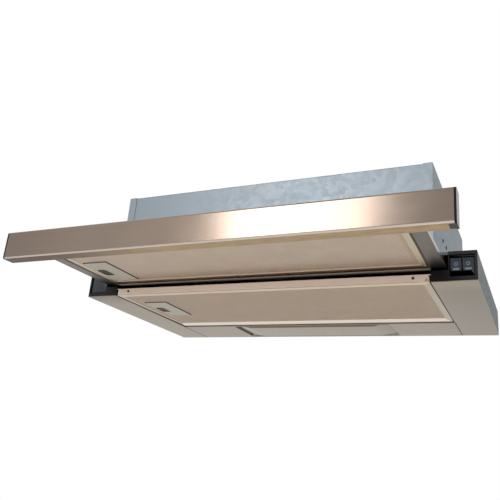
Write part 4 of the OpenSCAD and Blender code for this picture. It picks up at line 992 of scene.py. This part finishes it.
def mouldings():
    """Stiffening ribs on the flaps, and rows of vents in the motor can's end, drawn as dark discs of
    painted shade.
    """
    for node, sign in (("front_flap", -1), ("rear_flap", 1)):
        low, high = extent(node)
        bm = bmesh.new()
        top = (low.z + high.z) / 2 + 0.6
        for x in FLAP_RIBS:
            reach = (FLAP_R ** 2 - x * x) ** 0.5 - 4
            y0, y1 = sorted((sign * 7, sign * reach))
            block(bm, (x - 0.6, y0, top - 0.2), (x + 0.6, y1, top + 0.8), 0.25)
        new_piece(node + "_ribs", bm, MATERIALS[SLOT_OF[node]], node)

    low, high = extent("motor_can")
    centre = (low + high) / 2
    bm = bmesh.new()
    radius = (high.z - low.z) / 2
    for i in range(VENT_ROWS):
        a = 2 * pi * i / VENT_ROWS
        for r in range(VENTS_IN_ROW):
            out = Vector((0, cos(a), sin(a))) * (radius * FIRST_VENT + r * VENT_PITCH)
            at = Vector((high.x, centre.y, centre.z)) + out
            # Each vent is a dark disc: painted shade where the opening is.
            lathe(bm, at - Vector((0.3, 0, 0)), (1, 0, 0), [(0, 1.1), (0.32, 1.1), (0.34, 0.1)], 14)
    new_piece("motor_can_vents", bm, RUBBER_AND_VENT_SHADE, "motor_can")


def sheet_bodies():
    """The shell, the bottom panels, the box's sides, and the visor's pan with its rolled rear edge."""
    for node in ("left_bottom_panel", "right_bottom_panel", "rear_bottom_panel"):
        dressed(node, 0.3, material=PANEL)
    dressed("lower_shell", 0.3, material=SHELL)
    # The box's sideways faces take painted shade.
    for node in ("upper_box_left_side", "upper_box_right_side"):
        dressed(node, 0.25, (BOX_SIDE_SHADE,), lambda centre, normal: int(abs(normal.x) > 0.9))
    low, high = extent("visor_pan")

    # The visor pan's lower outer edges take painted shade.
    dressed("visor_pan", 0.25, (SEAM_AND_SHADE,),
            lambda centre, normal: int(abs(centre.x) > high.x - 1.5 and centre.z < low.z + 5))
    start = ROLL_Y + ROLL_GAP
    run, half, sheet = high.y - 0.1 - start, high.x - 1, ROLL_SHEET
    bm = bmesh.new()
    loops = []
    for k in range(ROLL_STEPS + 1):
        a = pi / 2 * k / ROLL_STEPS
        y, z = start + run * sin(a), low.z + ROLL_RISE * (1 - cos(a))
        inner_y = start + (run - sheet) * sin(a)
        inner_z = low.z + ROLL_RISE - (ROLL_RISE - sheet) * cos(a)
        loops.append([Vector(q) for q in ((-half, y, z), (half, y, z), (half, inner_y, inner_z),
                                          (-half, inner_y, inner_z))])
    skin(bm, loops, caps=True)
    new_piece("visor_rolled_edge", bm, ROLLED, "visor_pan")


def rails():
    """The visor's rails, with painted shade on their rolled face below."""
    for node in ("left_visor_rail", "right_visor_rail"):
        dressed(node, 0.3, (RAIL_SHADE,), lambda centre, normal: int(normal.z < -0.9))
        low, high = extent(node)
        side, inner = (1, low.x) if low.x > 0 else (-1, high.x)
        x0, x1 = sorted((inner + side * 0.1, inner + side * (1.2 if side > 0 else 2.2)))
        bm = bmesh.new()
        block(bm, (x0, low.y + 1, low.z - 0.08), (x1, high.y - 1, low.z + 0.4), 0.05)
        new_piece(node + "_seam", bm, SEAM_AND_SHADE, node)


def filter_seals():
    """Dark strips of painted shade in the gaps beside the main filter, the seams of the side panels, and
    the lamp cover's front seam, with painted shade in it.
    """
    low, high = extent("main_filter_frame")
    wall = extent("right_bottom_panel")[0].x
    bm = bmesh.new()
    # Strips in the gaps between the main filter and the panels' walls: painted shade.
    for side in (-1, 1):
        x0, x1 = sorted((side * (wall - 0.05), side * (high.x + 0.35)))
        block(bm, (x0, low.y + 3, low.z + 2.2), (x1, high.y - 3, low.z + 5), 0.2)
    new_piece("filter_seals", bm, SEAM_AND_SHADE, "left_bottom_panel")

    floor, rear = extent("right_bottom_panel")[0].z, extent("rear_bottom_panel")[1].y
    for side, node in ((-1, "left_bottom_panel"), (1, "right_bottom_panel")):
        bm = bmesh.new()
        x0, x1 = sorted((side * (wall - 0.2), side * (wall + 1.0)))
        block(bm, (x0, high.y - 2, floor - 0.08), (x1, rear - 1.5, floor + 0.4), 0.05)
        # On the left, a further strip along the main filter's edge: painted shade in the gap there.
        if side < 0:
            block(bm, (x0, low.y + 3, floor - 0.1), (x1 - 0.3, high.y - 2.2, floor + 0.4), 0.05)
        new_piece(node + "_seam", bm, SEAM_AND_SHADE, node)
    # A dark strip along the lamp cover's front edge: the seam, with painted shade in it.
    lamp_low, lamp_high = extent("lamp_cover")
    bm = bmesh.new()
    block(bm, (lamp_low.x + 4, lamp_low.y - 1.9, floor - 0.15),
          (lamp_high.x - 4, lamp_low.y - 0.4, floor + 0.4), 0.06)
    new_piece("lamp_front_seam", bm, LAMP_SEAM_SHADE, "rear_bottom_panel")


def dress_nodes():
    for node, edge in EDGES.items():
        dressed(node, edge)
    sheet_bodies()
    rails()
    filter_seals()
    filters()
    fixings()
    fascia()
    legend("light_rocker")
    legend("fan_rocker")
    blank_insert()
    lamp()
    capacitor()
    terminal_box()
    cable_gland()
    mouldings()
    for node in PLAIN:
        NODES[node].data.materials.clear()
        NODES[node].data.materials.append(MATERIALS[SLOT_OF[node]].data)


# Stage

LIGHTS = (
    ("key", (-0.439, -1.754, 0.61), (0.12, -0.34, 0.0), (0.535, 0.9), 11.5, (1, 1, 1), True),
    ("front_fill", (0.3, -2.2, 0.1), (0, -0.2, 0), (1.2, 0.8), 22, (1.0, 0.97, 0.93), False),
    ("low_fill", (0.0, -0.6, -0.9), (0, -0.1, -0.04), (1.4, 0.8), 8, (1.0, 0.97, 0.9), False),
)


def area_light(name, at, towards, size, power, colour, glossy):
    data = bpy.data.lights.new(name, "AREA")
    data.shape = "RECTANGLE"
    data.size, data.size_y = size
    data.energy = power
    data.color = colour
    lamp = bpy.data.objects.new(name, data)
    lamp.location = at
    lamp.rotation_euler = (Vector(towards) - Vector(at)).to_track_quat("-Z", "Y").to_euler()
    lamp.visible_glossy = glossy
    bpy.context.scene.collection.objects.link(lamp)


FLOOR_Z, FLOOR_HALF = -1.65, 8
FLOOR_COLOUR, FLOOR_GLOW = (0.85, 0.84, 0.82), (0.62, 0.61, 0.59)
WORLD_LIGHT, WORLD_PALE = (0.30, 0.29, 0.28), (1.0, 1.0, 1.0)
SEEN_BY = ("Is Camera Ray", "Is Glossy Ray", "Is Transmission Ray")


def seen(tree):
    """1 for the rays that show the background: to the camera, in gloss and through glass."""
    outputs = tree.nodes.new("ShaderNodeLightPath").outputs
    camera, glossy, through = (Val(tree, outputs[ray]) for ray in SEEN_BY)
    return camera.math("MAXIMUM", glossy).math("MAXIMUM", through)


def floor_material():
    """A plain pale floor, which keeps the object's shadow."""
    m = Mat("floor_paper", roughness=1.0)
    glow = m.mix(seen(m.tree), (0.0, 0.0, 0.0), FLOOR_GLOW)
    plug(m.tree, glow, m.bsdf.inputs["Emission Color"])
    m.bsdf.inputs["Emission Strength"].default_value = 1.0
    m.bsdf.inputs["Specular IOR Level"].default_value = 0.0
    return m.colour(FLOOR_COLOUR)


def make_world():
    """A white background, which gloss and glass show too. Its plain light on the object is dimmer."""
    world = bpy.data.worlds.new("studio")
    bpy.context.scene.world = world
    world.use_nodes = True
    tree = world.node_tree
    plug(tree, blend(tree, seen(tree), WORLD_LIGHT, WORLD_PALE), tree.nodes["Background"].inputs[0])


def make_stage():
    bm = bmesh.new()
    bmesh.ops.create_grid(bm, x_segments=1, y_segments=1, size=FLOOR_HALF)
    mesh = bpy.data.meshes.new("floor")
    bm.to_mesh(mesh)
    bm.free()
    floor = bpy.data.objects.new("floor", mesh)
    floor.location = (0, 0, FLOOR_Z)
    mesh.materials.append(floor_material().data)
    bpy.context.scene.collection.objects.link(floor)
    make_world()
    for each in LIGHTS:
        area_light(*each)
    bpy.context.scene.view_settings.view_transform = "Standard"


make_camera()
make_stage()
dress_nodes()
